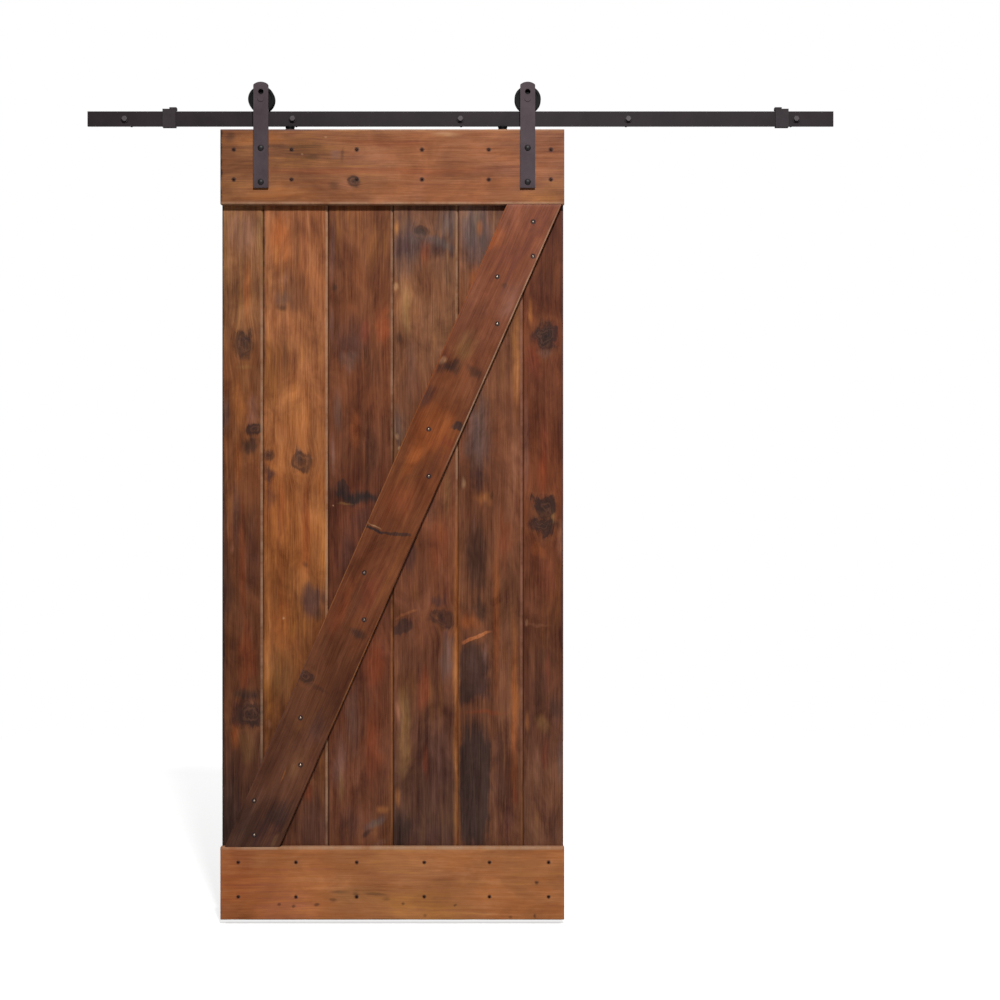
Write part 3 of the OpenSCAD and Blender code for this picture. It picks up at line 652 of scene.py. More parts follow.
# In each plank's edges, the dark lines on side 0 are dark joints with painted shade on the bevels that face
# away from the key light, and the pale, light and pink lines on side 1 are wear with painted highlight on
# the bevels that face it.
PLANK_1 = dict(heart=0.8, tones=(
    (0.0, 72, 50, 43), (0.12, 80, 52, 43), (0.28, 90, 53, 36), (0.5, 98, 57, 37), (0.62, 112, 68, 42),
    (0.75, 118, 76, 50), (0.95, 128, 88, 62),
), marks=(
    ("olive", 0.04, 0.84, 30, 520, 0.3), ("mauve", 0.52, 0.87, 70, 140, 0.35),
    ("orange", 0.63, 0.8, 24, 150, 0.35), ("olive", 0.9, 0.87, 12, 110, 0.4),
    ("knot", 0.54, 0.727, 54, 62, 0.8), ("violet", 0.55, 0.735, 40, 14, 0.7),
    ("dark", 0.54, 0.711, 46, 20, 0.6), ("olive", 0.56, 0.699, 46, 14, 0.4),
    ("light", 0.41, 0.655, 28, 130, 0.45), ("grey", 0.08, 0.64, 26, 110, 0.5),
    ("mauve", 0.78, 0.645, 34, 90, 0.45), ("knot", 0.79, 0.622, 34, 28, 0.9),
    ("black", 0.7, 0.604, 52, 54, 0.7), ("orange", 0.4, 0.58, 20, 160, 0.3),
    ("violet", 0.34, 0.51, 26, 180, 0.5), ("rust", 0.5, 0.45, 22, 300, 0.25),
    ("violet", 0.75, 0.46, 44, 260, 0.35), ("black", 0.02, 0.4, 22, 900, 0.6),
    ("dark", 0.1, 0.42, 34, 160, 0.5), ("pink", 0.24, 0.47, 14, 34, 0.35),
    ("rust", 0.62, 0.33, 40, 200, 0.3), ("black", 0.62, 0.284, 84, 28, 0.85),
    ("knot", 0.68, 0.262, 66, 60, 0.9), ("pink", 0.7, 0.272, 30, 34, 0.4),
    ("orange", 0.32, 0.232, 26, 90, 0.35), ("black", 0.16, 0.13, 60, 330, 0.55),
    ("olive", 0.6, 0.22, 60, 90, 0.2), ("black", 0.3, 0.07, 130, 170, 0.35),
), edges=(
    (0, "black", 6, 0.65, 0.0, 1.0), (1, "pale", 8, 0.6, 0.2, 0.8), (1, "olive", 8, 0.7, 0.8, 1.0),
))
PLANK_2 = dict(heart=0.3, tones=(
    (0.0, 76, 47, 38), (0.15, 94, 57, 40), (0.3, 109, 64, 37), (0.37, 117, 70, 40), (0.45, 138, 85, 48),
    (0.66, 148, 93, 59), (0.8, 134, 84, 56), (0.95, 134, 85, 58),
), marks=(
    ("orange", 0.26, 0.86, 60, 150, 0.35), ("light", 0.2, 0.84, 18, 60, 0.6),
    ("dark", 0.5, 0.86, 28, 170, 0.3), ("pink", 0.32, 0.812, 30, 34, 0.5),
    ("grey", 0.32, 0.79, 40, 66, 0.4), ("dark", 0.42, 0.795, 84, 110, 0.35),
    ("dark", 0.3, 0.775, 30, 24, 0.6), ("dark", 0.35, 0.71, 18, 110, 0.4),
    ("light", 0.5, 0.648, 60, 190, 0.5), ("dark", 0.76, 0.62, 26, 200, 0.3),
    ("knot", 0.08, 0.588, 30, 26, 0.8), ("light", 0.1, 0.572, 34, 12, 0.6),
    ("violet", 0.13, 0.565, 36, 42, 0.85), ("violet", 0.1, 0.535, 40, 70, 0.35),
    ("knot", 0.61, 0.58, 52, 52, 0.75), ("grey", 0.56, 0.588, 26, 44, 0.55),
    ("pink", 0.73, 0.584, 30, 8, 0.5), ("light", 0.55, 0.563, 40, 12, 0.4),
    ("rust", 0.66, 0.49, 28, 260, 0.3), ("light", 0.9, 0.52, 18, 260, 0.5),
    ("rust", 0.3, 0.53, 16, 170, 0.25), ("dark", 0.66, 0.45, 16, 20, 0.5),
    ("violet", 0.75, 0.407, 74, 90, 0.85), ("black", 0.84, 0.388, 34, 50, 0.4),
    ("pale", 0.32, 0.3805, 6, 7, 0.8), ("orange", 0.3, 0.37, 60, 200, 0.25),
    ("olive", 0.3, 0.31, 80, 190, 0.2), ("light", 0.07, 0.36, 16, 600, 0.5),
    ("pink", 0.1, 0.248, 22, 26, 0.5), ("violet", 0.78, 0.11, 100, 230, 0.5),
    ("rust", 0.7, 0.16, 30, 60, 0.3), ("light", 0.16, 0.63, 26, 160, 0.25),
), edges=(
    (0, "dark", 8, 0.8, 0.7, 1.0), (0, "dark", 5, 0.6, 0.4, 0.7), (1, "pale", 8, 0.6, 0.08, 1.0),
))
PLANK_3 = dict(heart=0.1, tones=(
    (0.0, 96, 58, 44), (0.25, 102, 60, 44), (0.38, 90, 51, 37), (0.52, 90, 49, 35), (0.62, 100, 58, 40),
    (0.8, 106, 62, 40), (0.95, 112, 68, 44),
), marks=(
    ("mauve", 0.07, 0.845, 14, 170, 0.6), ("black", 0.11, 0.8, 14, 20, 0.6),
    ("mauve", 0.06, 0.755, 12, 120, 0.5), ("dark", 0.16, 0.8, 26, 300, 0.2),
    ("violet", 0.36, 0.735, 96, 130, 0.65), ("grey", 0.34, 0.71, 50, 60, 0.4),
    ("red", 0.58, 0.745, 30, 70, 0.5), ("rust", 0.84, 0.75, 40, 110, 0.4),
    ("dark", 0.72, 0.7, 56, 90, 0.35), ("orange", 0.42, 0.62, 26, 120, 0.25),
    ("grey", 0.16, 0.645, 28, 110, 0.4), ("mauve", 0.07, 0.59, 12, 120, 0.5),
    ("dark", 0.68, 0.585, 44, 170, 0.45), ("soot", 0.22, 0.543, 54, 40, 0.7),
    ("black", 0.5, 0.537, 170, 46, 0.95), ("olive", 0.26, 0.527, 44, 8, 0.4),
    ("pale", 0.08, 0.525, 6, 6, 1.0), ("violet", 0.6, 0.505, 80, 90, 0.5),
    ("violet", 0.3, 0.46, 50, 200, 0.45), ("red", 0.62, 0.44, 70, 160, 0.3),
    ("rust", 0.7, 0.32, 54, 140, 0.35), ("grey", 0.38, 0.25, 40, 190, 0.35),
    ("mauve", 0.17, 0.2, 40, 170, 0.5), ("rust", 0.7, 0.22, 56, 230, 0.3),
    ("violet", 0.36, 0.12, 54, 120, 0.4), ("light", 0.84, 0.137, 40, 26, 0.4),
    ("grey", 0.74, 0.12, 70, 24, 0.7, 30), ("black", 0.6, 0.107, 44, 14, 0.6, 30),
    ("mauve", 0.8, 0.095, 60, 16, 0.4, 30), ("olive", 0.2, 0.17, 16, 100, 0.35),
), edges=(
    (0, "dark", 5, 0.6, 0.0, 1.0), (1, "light", 7, 0.6, 0.1, 0.5), (1, "pale", 7, 0.5, 0.6, 1.0),
))
PLANK_4 = dict(heart=0.5, tones=(
    (0.0, 78, 53, 46), (0.15, 84, 56, 47), (0.3, 100, 61, 46), (0.5, 107, 62, 43), (0.62, 108, 68, 50),
    (0.78, 118, 78, 56), (0.95, 104, 70, 56),
), marks=(
    ("light", 0.06, 0.876, 20, 44, 0.6), ("grey", 0.22, 0.85, 90, 150, 0.8),
    ("violet", 0.2, 0.853, 86, 110, 0.85), ("violet", 0.76, 0.852, 90, 70, 0.8),
    ("grey", 0.83, 0.884, 70, 90, 0.75), ("grey", 0.72, 0.858, 110, 30, 0.7, -20),
    ("grey", 0.4, 0.862, 60, 50, 0.5), ("knot", 0.45, 0.873, 34, 20, 0.6),
    ("rust", 0.5, 0.845, 30, 70, 0.35), ("dark", 0.85, 0.82, 18, 100, 0.45),
    ("olive", 0.2, 0.775, 34, 160, 0.55), ("pale", 0.05, 0.803, 16, 22, 0.5),
    ("dark", 0.08, 0.735, 22, 34, 0.7), ("mauve", 0.3, 0.7, 40, 160, 0.3),
    ("grey", 0.08, 0.62, 46, 130, 0.5), ("pale", 0.06, 0.611, 12, 16, 0.5),
    ("pale", 0.1, 0.596, 10, 12, 0.45), ("olive", 0.84, 0.54, 26, 140, 0.3),
    # The second mark on the next line is dirt and painted shadow beside the brace's right edge.
    ("violet", 0.56, 0.53, 30, 110, 0.4), ("violet", 0.26, 0.465, 40, 110, 0.6),
    ("rust", 0.72, 0.48, 50, 130, 0.25), ("violet", 0.7, 0.4, 46, 40, 0.7),
    ("scar", 0.2, 0.386, 70, 7, 0.35, 24), ("soot", 0.16, 0.367, 58, 46, 0.65),
    ("knot", 0.78, 0.378, 60, 36, 0.65), ("scar", 0.66, 0.381, 26, 8, 0.4, -30),
    ("grey", 0.82, 0.33, 40, 150, 0.5), ("rust", 0.48, 0.285, 38, 130, 0.4),
    ("olive", 0.19, 0.24, 38, 250, 0.5), ("pink", 0.08, 0.262, 16, 60, 0.4),
    ("violet", 0.66, 0.2, 90, 240, 0.45), ("rust", 0.5, 0.2, 20, 100, 0.3),
    ("black", 0.12, 0.11, 50, 110, 0.6), ("violet", 0.6, 0.09, 130, 160, 0.35),
    ("light", 0.08, 0.155, 18, 60, 0.35), ("light", 0.98, 0.27, 18, 1150, 0.6),
), edges=(
    (0, "dark", 5, 0.7, 0.0, 1.0), (1, "pale", 7, 0.5, 0.5, 1.0),
))
PLANK_5 = dict(heart=0.7, tones=(
    (0.0, 94, 62, 50), (0.25, 104, 65, 48), (0.45, 98, 60, 43), (0.6, 104, 62, 44), (0.8, 106, 66, 46),
    (0.95, 106, 74, 62),
), marks=(
    ("grey", 0.25, 0.868, 90, 190, 0.9), ("violet", 0.3, 0.86, 90, 150, 0.3),
    ("mauve", 0.3, 0.85, 16, 110, 0.4), ("orange", 0.33, 0.876, 18, 50, 0.4),
    ("orange", 0.3, 0.81, 50, 70, 0.3), ("light", 0.9, 0.7, 20, 320, 0.5),
    ("pink", 0.78, 0.733, 20, 20, 0.4), ("grey", 0.32, 0.615, 64, 250, 0.7),
    ("mauve", 0.2, 0.63, 14, 130, 0.5), ("violet", 0.34, 0.56, 60, 50, 0.5),
    ("pale", 0.08, 0.553, 12, 34, 0.5), ("light", 0.4, 0.535, 60, 40, 0.3),
    ("dark", 0.52, 0.537, 12, 24, 0.6), ("black", 0.3, 0.455, 62, 220, 0.6),
    ("mauve", 0.24, 0.5, 8, 70, 0.4), ("black", 0.32, 0.39, 50, 70, 0.6),
    ("orange", 0.6, 0.4, 20, 420, 0.3), ("pink", 0.86, 0.56, 34, 420, 0.3),
    ("rust", 0.72, 0.48, 36, 170, 0.3), ("orange", 0.15, 0.374, 60, 60, 0.3),
    ("soot", 0.24, 0.31, 94, 172, 0.72), ("scar", 0.28, 0.356, 92, 10, 0.8, 24),
    ("violet", 0.34, 0.29, 66, 110, 0.3), ("mauve", 0.42, 0.335, 14, 60, 0.45),
    ("rust", 0.4, 0.261, 120, 14, 0.35), ("soot", 0.25, 0.166, 96, 388, 0.8),
    ("violet", 0.3, 0.06, 90, 160, 0.5), ("violet", 0.66, 0.19, 50, 260, 0.45),
    ("orange", 0.88, 0.27, 20, 480, 0.35), ("red", 0.9, 0.155, 12, 50, 0.5),
    ("light", 0.01, 0.27, 10, 1100, 0.35), ("violet", 0.66, 0.06, 60, 150, 0.3),
), edges=(
    (0, "dark", 5, 0.6, 0.55, 1.0), (1, "pink", 8, 0.75, 0.2, 1.0), (1, "light", 6, 0.4, 0.0, 0.2),
))
PLANK_6 = dict(heart=0.2, tones=(
    (0.0, 96, 64, 51), (0.18, 102, 66, 52), (0.27, 86, 51, 40), (0.34, 92, 54, 39), (0.5, 99, 54, 35),
    (0.9, 90, 48, 32),
), marks=(
    ("light", 0.18, 0.77, 14, 70, 0.5), ("black", 0.5, 0.735, 80, 90, 0.6),
    ("knot", 0.54, 0.738, 56, 60, 0.9), ("red", 0.3, 0.71, 40, 150, 0.5),
    ("mauve", 0.52, 0.718, 40, 26, 0.5), ("red", 0.8, 0.74, 26, 80, 0.5),
    ("mauve", 0.08, 0.6, 16, 300, 0.4), ("red", 0.55, 0.6, 24, 140, 0.4),
    ("rust", 0.5, 0.56, 30, 120, 0.35), ("black", 0.5, 0.513, 72, 110, 0.6),
    ("knot", 0.52, 0.526, 50, 36, 0.9), ("knot", 0.48, 0.5, 52, 40, 0.9),
    ("olive", 0.72, 0.513, 16, 46, 0.5), ("pink", 0.92, 0.48, 16, 110, 0.5),
    ("orange", 0.42, 0.466, 42, 40, 0.2), ("red", 0.6, 0.43, 60, 150, 0.25),
    ("pink", 0.4, 0.372, 70, 8, 0.25), ("pale", 0.1, 0.374, 8, 18, 0.3), ("dark", 0.5, 0.33, 90, 60, 0.4),
    ("dark", 0.45, 0.29, 60, 130, 0.5), ("black", 0.85, 0.27, 34, 90, 0.5),
    ("red", 0.62, 0.32, 12, 120, 0.5), ("light", 0.12, 0.25, 12, 50, 0.4),
    ("olive", 0.5, 0.25, 40, 60, 0.3), ("red", 0.56, 0.21, 16, 90, 0.45), ("grey", 0.92, 0.2, 14, 130, 0.5),
    ("pink", 0.5, 0.13, 60, 180, 0.25),
), edges=(
    (0, "dark", 5, 0.6, 0.0, 1.0), (1, "violet", 6, 0.7, 0.35, 1.0), (1, "grey", 5, 0.5, 0.0, 0.3),
))
PLANK_LOOKS = (PLANK_1, PLANK_2, PLANK_3, PLANK_4, PLANK_5, PLANK_6)
TOP_LOOK = dict(heart=0.3, contrast=0.68, tones=(
    (0.0, 118, 76, 50), (0.3, 122, 77, 52), (0.5, 134, 86, 60), (0.8, 132, 83, 58), (1.0, 136, 88, 66),
), marks=(
    ("dark", 0.77, 0.16, 12, 300, 0.45), ("dark", 0.68, 0.24, 60, 200, 0.3),
    ("pale", 0.88, 0.302, 6, 8, 0.35), ("pale", 0.665, 0.233, 5, 6, 0.4),
    ("dark", 0.62, 0.262, 14, 40, 0.5), ("dark", 0.665, 0.354, 44, 12, 0.5),
    ("mauve", 0.66, 0.333, 30, 28, 0.45), ("pink", 0.61, 0.437, 66, 150, 0.35),
    ("knot", 0.3, 0.387, 28, 30, 0.85), ("pink", 0.28, 0.358, 38, 32, 0.45),
    ("dark", 0.25, 0.33, 28, 28, 0.45), ("rust", 0.44, 0.5, 18, 900, 0.2),
    ("dark", 0.39, 0.718, 40, 200, 0.2), ("pink", 0.2, 0.578, 74, 34, 0.4),
    ("light", 0.1, 0.91, 40, 170, 0.45), ("pale", 0.93, 0.657, 16, 70, 0.4),
    ("light", 0.14, 0.16, 40, 240, 0.35), ("light", 0.86, 0.12, 40, 160, 0.3),
    # The black mark on the next line, across the board's left end, is darker end grain with painted shade.
    ("dark", 0.9, 0.03, 30, 30, 0.5), ("black", 0.5, 0.0, 300, 9, 0.8), ("mauve", 0.45, 0.82, 50, 120, 0.2),
    ("rust", 0.8, 0.5, 20, 260, 0.2),
), edges=(
    # The pale line along the lower edge (side 0) is wear with painted highlight on the rounded arris.
    (0, "pale", 9, 0.55, 0.0, 1.0), (1, "grey", 6, 0.7, 0.0, 0.3), (1, "pale", 6, 0.5, 0.3, 1.0),
))
BOTTOM_LOOK = dict(heart=0.7, contrast=0.5, tones=(
    (0.0, 152, 94, 60), (0.2, 158, 103, 68), (0.6, 160, 106, 70), (1.0, 158, 103, 67),
), marks=(
    ("dark", 0.38, 0.35, 10, 60, 0.5), ("dark", 0.28, 0.33, 12, 24, 0.5), ("dark", 0.34, 0.4, 22, 20, 0.45),
    ("dark", 0.36, 0.45, 10, 60, 0.45), ("dark", 0.3, 0.48, 12, 30, 0.4),
    ("olive", 0.33, 0.4, 50, 150, 0.25), ("dark", 0.22, 0.17, 8, 10, 0.6),
    ("dark", 0.19, 0.215, 9, 10, 0.6), ("dark", 0.21, 0.28, 9, 12, 0.6), ("dark", 0.22, 0.53, 10, 10, 0.6),
    ("dark", 0.2, 0.68, 9, 9, 0.6), ("dark", 0.52, 0.92, 12, 14, 0.8), ("rust", 0.6, 0.05, 220, 90, 0.15),
    ("pink", 0.6, 0.6, 40, 500, 0.2), ("dark", 0.06, 0.92, 14, 10, 0.6), ("dark", 0.05, 0.6, 10, 12, 0.5),
    ("dark", 0.04, 0.84, 10, 12, 0.5),
), edges=(
    # The pale line along the upper edge (side 1) is wear with painted highlight where the rounded top edge
    # faces the light.
    (0, "dark", 4, 0.5, 0.0, 1.0), (1, "pale", 10, 0.75, 0.0, 1.0),
))
BRACE_LOOK = dict(heart=0.35, contrast=0.8, tones=(
    (0.0, 80, 52, 43), (0.12, 89, 55, 42), (0.3, 94, 54, 36), (0.48, 104, 58, 37), (0.65, 108, 61, 36),
    (0.8, 108, 62, 44), (1.0, 120, 72, 57),
), marks=(
    ("orange", 0.08, 0.936, 34, 70, 0.4), ("dark", 0.62, 0.877, 20, 14, 0.5),
    ("mauve", 0.8, 0.857, 60, 120, 0.35), ("olive", 0.4, 0.77, 54, 120, 0.4),
    ("pale", 0.09, 0.745, 16, 22, 0.55), ("black", 0.29, 0.737, 52, 44, 0.75),
    ("dark", 0.76, 0.747, 50, 34, 0.65), ("violet", 0.12, 0.685, 34, 60, 0.8),
    ("orange", 0.45, 0.65, 110, 190, 0.25), ("soot", 0.88, 0.667, 38, 36, 0.8),
    ("red", 0.85, 0.64, 36, 30, 0.5), ("dark", 0.72, 0.6, 50, 90, 0.25), ("orange", 0.3, 0.6, 40, 110, 0.3),
    ("rust", 0.4, 0.54, 90, 120, 0.2), ("pale", 0.14, 0.488, 40, 5, 0.6), ("soot", 0.16, 0.483, 58, 8, 0.9),
    ("soot", 0.6, 0.49, 96, 9, 0.7, 17), ("red", 0.6, 0.4, 50, 160, 0.4),
    ("dark", 0.45, 0.38, 40, 120, 0.35), ("black", 0.72, 0.338, 48, 28, 0.65),
    ("rust", 0.2, 0.36, 50, 160, 0.2), ("knot", 0.12, 0.252, 36, 28, 0.75),
    ("grey", 0.04, 0.254, 12, 26, 0.5), ("dark", 0.38, 0.244, 84, 16, 0.5),
    ("violet", 0.68, 0.19, 44, 100, 0.45), ("olive", 0.66, 0.13, 40, 70, 0.12),
    ("black", 0.74, 0.06, 74, 80, 0.55), ("black", 0.28, 0.03, 120, 150, 0.4),
    ("light", 0.5, 0.112, 4, 40, 0.35), ("olive", 0.86, 0.02, 14, 40, 0.35),
), edges=(
    # In the brace's edges, the dark line on the right edge (side 1) is painted shadow, the pale line above
    # it is wear, and the light lines are wear with painted highlight.
    (1, "pale", 5, 0.75, 0.62, 1.0), (1, "dark", 4, 0.55, 0.4, 0.62), (1, "light", 4, 0.7, 0.22, 0.37),
    (0, "light", 4, 0.55, 0.3, 0.62), (0, "orange", 4, 0.4, 0.62, 1.0), (0, "mauve", 3, 0.4, 0.08, 0.3),
))


def make_boards():
    nails = {part: piece_places(f"nails_{part}") for part in ("top", "bottom", "brace")}
    for number, look in enumerate(PLANK_LOOKS, 1):
        node = f"plank_{number}"
        low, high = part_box(node)
        width = high.x - low.x - (TONGUE_L if number < PLANK_COUNT else 0)
        board = Board(node, size=(width, high.z - low.z))
        plank(number, wood(f"{node}_stain", board, seed=number * 4.1, **look))
    lying = dict(along=(1, 0, 0), across=(0, 0, 1))
    top = wood("top_board_stain", Board("top_board", **lying), seed=31.0, nails=nails["top"],
               dirt=(8, 0.75), **TOP_LOOK)
    level_board("top_board", seed=61.0, material=top)
    bottom = wood("bottom_board_stain", Board("bottom_board", **lying), seed=37.0, nails=nails["bottom"],
                  dirt=(7, 0.7), **BOTTOM_LOOK)
    level_board("bottom_board", seed=71.0, material=bottom)
    line = BraceLine(cut_width=147 * MM)
    foot = line.cut(line.width / 2, line.low.z)
    slanted = Board("brace", along=line.along, across=line.across, corner=line.point(0, 0, foot),
                    size=(line.width, -2 * foot))
    brace = wood("brace_stain", slanted, seed=43.0, nails=nails["brace"], dirt=(8.5, 0.95), **BRACE_LOOK)
    brace_board(line, brace)


# ---- threaded and hexagonal fasteners ----

SIDES_OF_HEX = 6
TURN = 48
CHAMFER_SHARE = 0.94
CONE_SLOPE = math.tan(math.radians(30))
WELD = 0.004 * MM


def even_ring(radius, y):
    return [(radius, y)] * TURN


def hex_reach(apothem, step):
    """Distance from the middle of a hexagon to its rim at one step of the turn, with a corner at step 0."""
    sector = math.tau / SIDES_OF_HEX
    angle = (step * math.tau / TURN) % sector - sector / 2
    return apothem / math.cos(angle)


def hex_rings(apothem, front, back, back_cut=True):
    """Rings (radius, y) at each step round a hexagon whose corners are cut by a cone."""
    flat = apothem * CHAMFER_SHARE
    reach = [hex_reach(apothem, step) for step in range(TURN)]
    cut = [(r - flat) * CONE_SLOPE for r in reach]
    rings = [even_ring(flat, front), [(r, front + c) for r, c in zip(reach, cut)]]
    rings.append([(r, back - (c if back_cut else 0)) for r, c in zip(reach, cut)])
    if back_cut:
        rings.append(even_ring(flat, back))
    return rings


def thread_rings(start, end, tip, root, crest, pitch):
    """Sloping rings of a screw thread that runs out into a gimlet point at tip."""
    profile = ((0.0, root), (0.42, root), (0.58, crest), (0.72, crest))
    rings = []
    turns = math.ceil((tip - start) / pitch)
    for turn in range(-1, turns + 1):
        for share, radius in profile:
            ring = []
            for step in range(TURN + 1):
                y = start + pitch * (turn + share + step / TURN)
                taper = min(1.0, max(0.0, (tip - y) / (tip - end)))
                ring.append((root if y < start else radius * taper, min(max(y, start), tip)))
            rings.append(ring)
    return rings


def turned_piece(rings, middle, looped=False):
    """Vertices and faces of rings set round a middle line along Y. An open piece is capped at both ends."""
    vertices, faces = [], []
    columns = TURN + 1
    for ring in rings:
        closed = ring if len(ring) == columns else ring + ring[:1]
        for step, (radius, y) in enumerate(closed):
            angle = step * math.tau / TURN
            vertices.append((middle.x + radius * math.cos(angle), y, middle.z + radius * math.sin(angle)))
    pairs = list(zip(range(len(rings) - 1), range(1, len(rings))))
    if looped:
        pairs.append((len(rings) - 1, 0))
    else:
        faces.append(tuple(range(TURN)))
        faces.append(tuple((len(rings) - 1) * columns + step for step in reversed(range(TURN))))
    for first, second in pairs:
        for step in range(TURN):
            a, b = first * columns + step, second * columns + step
            faces.append((a, b, b + 1, a + 1))
    return vertices, faces


def fastener_piece(name, parts, node, body, material):
    """One object made of several turned parts."""
    vertices, faces = [], []
    for part_vertices, part_faces in parts:
        offset = len(vertices)
        vertices += part_vertices
        faces += [tuple(offset + i for i in face) for face in part_faces]
    mesh = bpy.data.meshes.new(name)
    mesh.from_pydata(vertices, [], faces)
    work = bmesh.new()
    work.from_mesh(mesh)
    bmesh.ops.remove_doubles(work, verts=work.verts, dist=WELD)
    bmesh.ops.dissolve_degenerate(work, edges=work.edges, dist=WELD)
    piece = smooth_piece(mesh, work, sharp_degrees=24)
    mesh.materials.append(material)
    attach(piece, body)
    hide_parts(node)


def make_wall_bolts(material):
    """Hexagon head wood screws with a flat seat, plain shank and coarse thread."""
    head_height, shank, root, crest = 5.5 * MM, 3.6 * MM, 3.0 * MM, 4.0 * MM
    point = 7 * MM
    low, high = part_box("lag_bolts")
    seat = low.y + head_height
    apothem = (high.z - low.z) / 2
    parts = []
    for place in piece_places("lag_bolts"):
        rings = hex_rings(apothem, low.y, seat, back_cut=False)
        rings += [even_ring(shank, seat), even_ring(shank, 0.0), even_ring(root, 0.0)]
        rings += thread_rings(0.0, high.y - point, high.y, root, crest, 3.4 * MM)
        parts.append(turned_piece(rings, place))
    fastener_piece("wall_bolts", parts, "lag_bolts", "rail", material)


def nut_part(node, place, across_flats, bore):
    low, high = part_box(node)
    inner_chamfer = 0.6 * MM
    rings = hex_rings(across_flats / 2, low.y, high.y)
    rings += [even_ring(bore + inner_chamfer, high.y), even_ring(bore, high.y - inner_chamfer),
              even_ring(bore, low.y + inner_chamfer), even_ring(bore + inner_chamfer, low.y)]
    return turned_piece(rings, place, looped=True)


def make_nuts(material):
    sizes = {"hanger_nuts": (13.0, 4.05), "axle_nut_left": (17.0, 5.05), "axle_nut_right": (17.0, 5.05)}
    for node, (across_flats, bore) in sizes.items():
        parts = [nut_part(node, place, across_flats * MM, bore * MM) for place in piece_places(node)]
        fastener_piece(f"{node}_hex", parts, node, "door", material)


# ---- CAD pieces that keep their shape ----

def dress(names, material):
    for name in names:
        piece = NODES[name]
        piece.data.materials.clear()
        piece.data.materials.append(material)


def soften(names, width):
    """Rounds the sharp edges of CAD pieces, after their flat faces are made whole."""
    for name in names:
        flat = NODES[name].modifiers.new("flat_faces", "DECIMATE")
        flat.decimate_type = "DISSOLVE"
        flat.angle_limit = math.radians(0.5)
        rounded = NODES[name].modifiers.new("soft_edges", "BEVEL")
        rounded.width = width
        rounded.segments = 2
        rounded.limit_method = "ANGLE"
        rounded.angle_limit = math.radians(50)
        rounded.harden_normals = False


def make_metal():
    rail_coat = coated("rail_coat", tone(40, 33, 36), 0.5)
    strap_coat = coated("strap_coat", tone(70, 59, 63), 0.46)
    stop_coat = coated("stop_coat", tone(52, 46, 49), 0.46)
    screw_coat = coated("screw_coat", tone(84, 74, 76), 0.36)
    black_coat = coated("bolt_black_coat", tone(27, 23, 24), 0.55, specular=0.42, relief=0.03)
    steel = plated("zinc_steel", tone(190, 190, 188), 0.4)
    nail = plated("nail_steel", tone(52, 30, 22), 0.4)
    bright_nail = plated("brace_nail_steel", tone(170, 150, 132), 0.34)
    nylon = moulded("black_nylon_skin", tone(17, 16, 17), 0.48)
    rubber = moulded("bumper_rubber_skin", tone(50, 45, 47), 0.7)
    paired = lambda *stems: [f"{stem}_{side}" for stem in stems for side in SIDES]
    dress(["rail", "standoffs", "lag_washers"], rail_coat)
    dress(paired("strap", "axle_bolt"), strap_coat)
    dress(paired("stop_block"), stop_coat)
    dress(["anti_jump_screws"], screw_coat)
    dress(paired("hanger_bolts"), black_coat)
    dress(["nails_top", "nails_bottom"], nail)
    dress(["nails_brace"], bright_nail)
    dress(paired("wheel", "anti_jump_disc"), nylon)
    dress(paired("bumper"), rubber)
    dress(["hanger_washers", "stop_set_screws"]
          + paired("axle_spacer", "axle_washer", "bearing_inner", "bearing_outer", "bearing_balls",
                   "bearing_shields"), steel)
    make_wall_bolts(coated("wall_bolt_coat", tone(80, 74, 77), 0.34, specular=0.3, relief=0.03))
    make_nuts(steel)


# ---- stage ----

FILL = 0.11
FLOOR_LIFT = 0.62
FLOOR_DROP = 12 * MM
FLOOR_HALF = 3.4
DOOR_MIDDLE_Z = -1.0
KEY_POWER = 452
BACK_POWER = 120
SMOOTH_METAL = 0.8 * MM
SMOOTH_RUBBER = 1.2 * MM


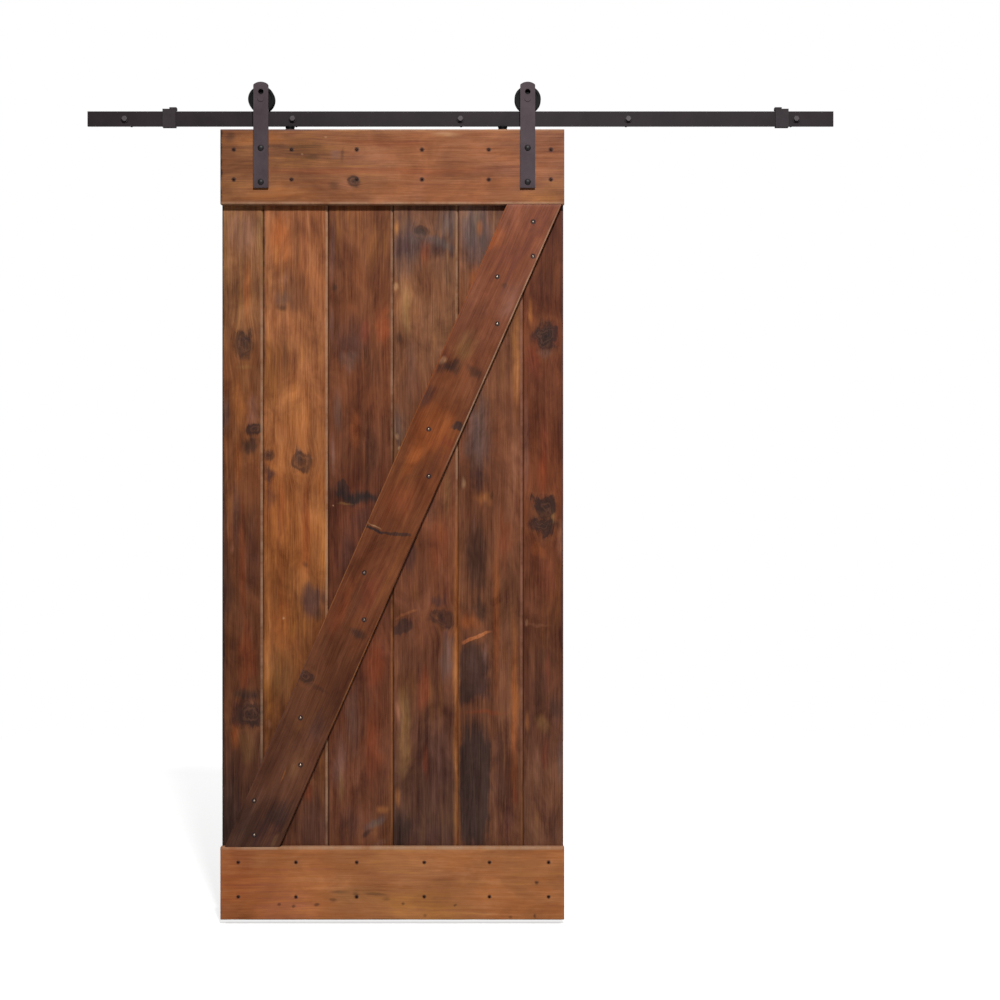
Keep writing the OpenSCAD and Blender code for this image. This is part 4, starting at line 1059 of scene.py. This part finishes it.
def make_stage():
    """A lit world and a pale floor that the camera sees brighter than the lamps light it."""
    world = bpy.data.worlds.new("studio")
    world.use_nodes = True
    tree = world.node_tree
    sky = tree.nodes["Background"]
    sky.inputs["Color"].default_value = (1.0, 1.0, 1.0, 1.0)
    ray = tree.nodes.new("ShaderNodeLightPath")
    strength = tree.nodes.new("ShaderNodeMapRange")
    strength.inputs["To Min"].default_value = FILL
    strength.inputs["To Max"].default_value = 1.0
    tree.links.new(ray.outputs["Is Camera Ray"], strength.inputs["Value"])
    tree.links.new(strength.outputs[0], sky.inputs["Strength"])
    bpy.context.scene.world = world

    bottom = cad_bounds[0][2] - FLOOR_DROP
    mesh = bpy.data.meshes.new("floor")
    ways = ((-1, -1), (1, -1), (1, 1), (-1, 1))
    mesh.from_pydata([(x * FLOOR_HALF, y * FLOOR_HALF, bottom) for x, y in ways], [], [(0, 1, 2, 3)])
    floor = placed("floor", mesh)
    s = Shader("floor_paint")
    cloud = s.noise(s.vector("MULTIPLY", s.place, (3.0,) * 3), detail=2.0)
    seen = s.tree.nodes.new("ShaderNodeLightPath").outputs["Is Camera Ray"]
    s.feed(s.surface.inputs["Emission Color"], (1.0, 1.0, 1.0, 1.0))
    s.feed(s.surface.inputs["Emission Strength"], s.times(seen, FLOOR_LIFT))
    mesh.materials.append(s.set(colour=s.mix(cloud, tone(203, 203, 203), tone(208, 208, 208)), rough=0.9,
                                specular=0.05))


def add_light(name, place, target, size, power):
    lamp = bpy.data.lights.new(name, "AREA")
    lamp.shape = "DISK"
    lamp.size = size
    lamp.energy = power
    holder = placed(name, lamp)
    holder.location = place
    holder.rotation_euler = (Vector(target) - Vector(place)).to_track_quat("-Z", "Y").to_euler()
    holder.visible_camera = False


def make_camera():
    """Head-on, with the whole rail in view and the door hanging below it."""
    view_width, distance, sensor = 2.681, 4.5, 36.0
    middle_x, middle_z = 0.106, -1.022
    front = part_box("rail")[0].y
    camera = bpy.data.cameras.new("front_camera")
    camera.sensor_width = sensor
    camera.lens = sensor * distance / view_width
    holder = placed("front_camera", camera)
    holder.location = (middle_x, front - distance, middle_z)
    holder.rotation_euler = (math.radians(90), 0, 0)
    bpy.context.scene.camera = holder


make_stage()
make_camera()
door_low, door_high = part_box("top_board")
door_middle = ((door_low.x + door_high.x) / 2, door_low.y, DOOR_MIDDLE_Z)
add_light("key", (0.7, -4.6, 3.6), door_middle, 0.7, KEY_POWER)
add_light("back_left", (-3.6, 4.2, 2.8), door_middle, 2.4, BACK_POWER)
add_light("back_right", (3.2, 4.6, 2.4), door_middle, 2.4, BACK_POWER)
bpy.context.scene.view_settings.view_transform = "Standard"
make_boards()
make_metal()
soften(["rail", "strap_left", "strap_right", "stop_block_left", "stop_block_right"], SMOOTH_METAL)
soften(["bumper_left", "bumper_right"], SMOOTH_RUBBER)
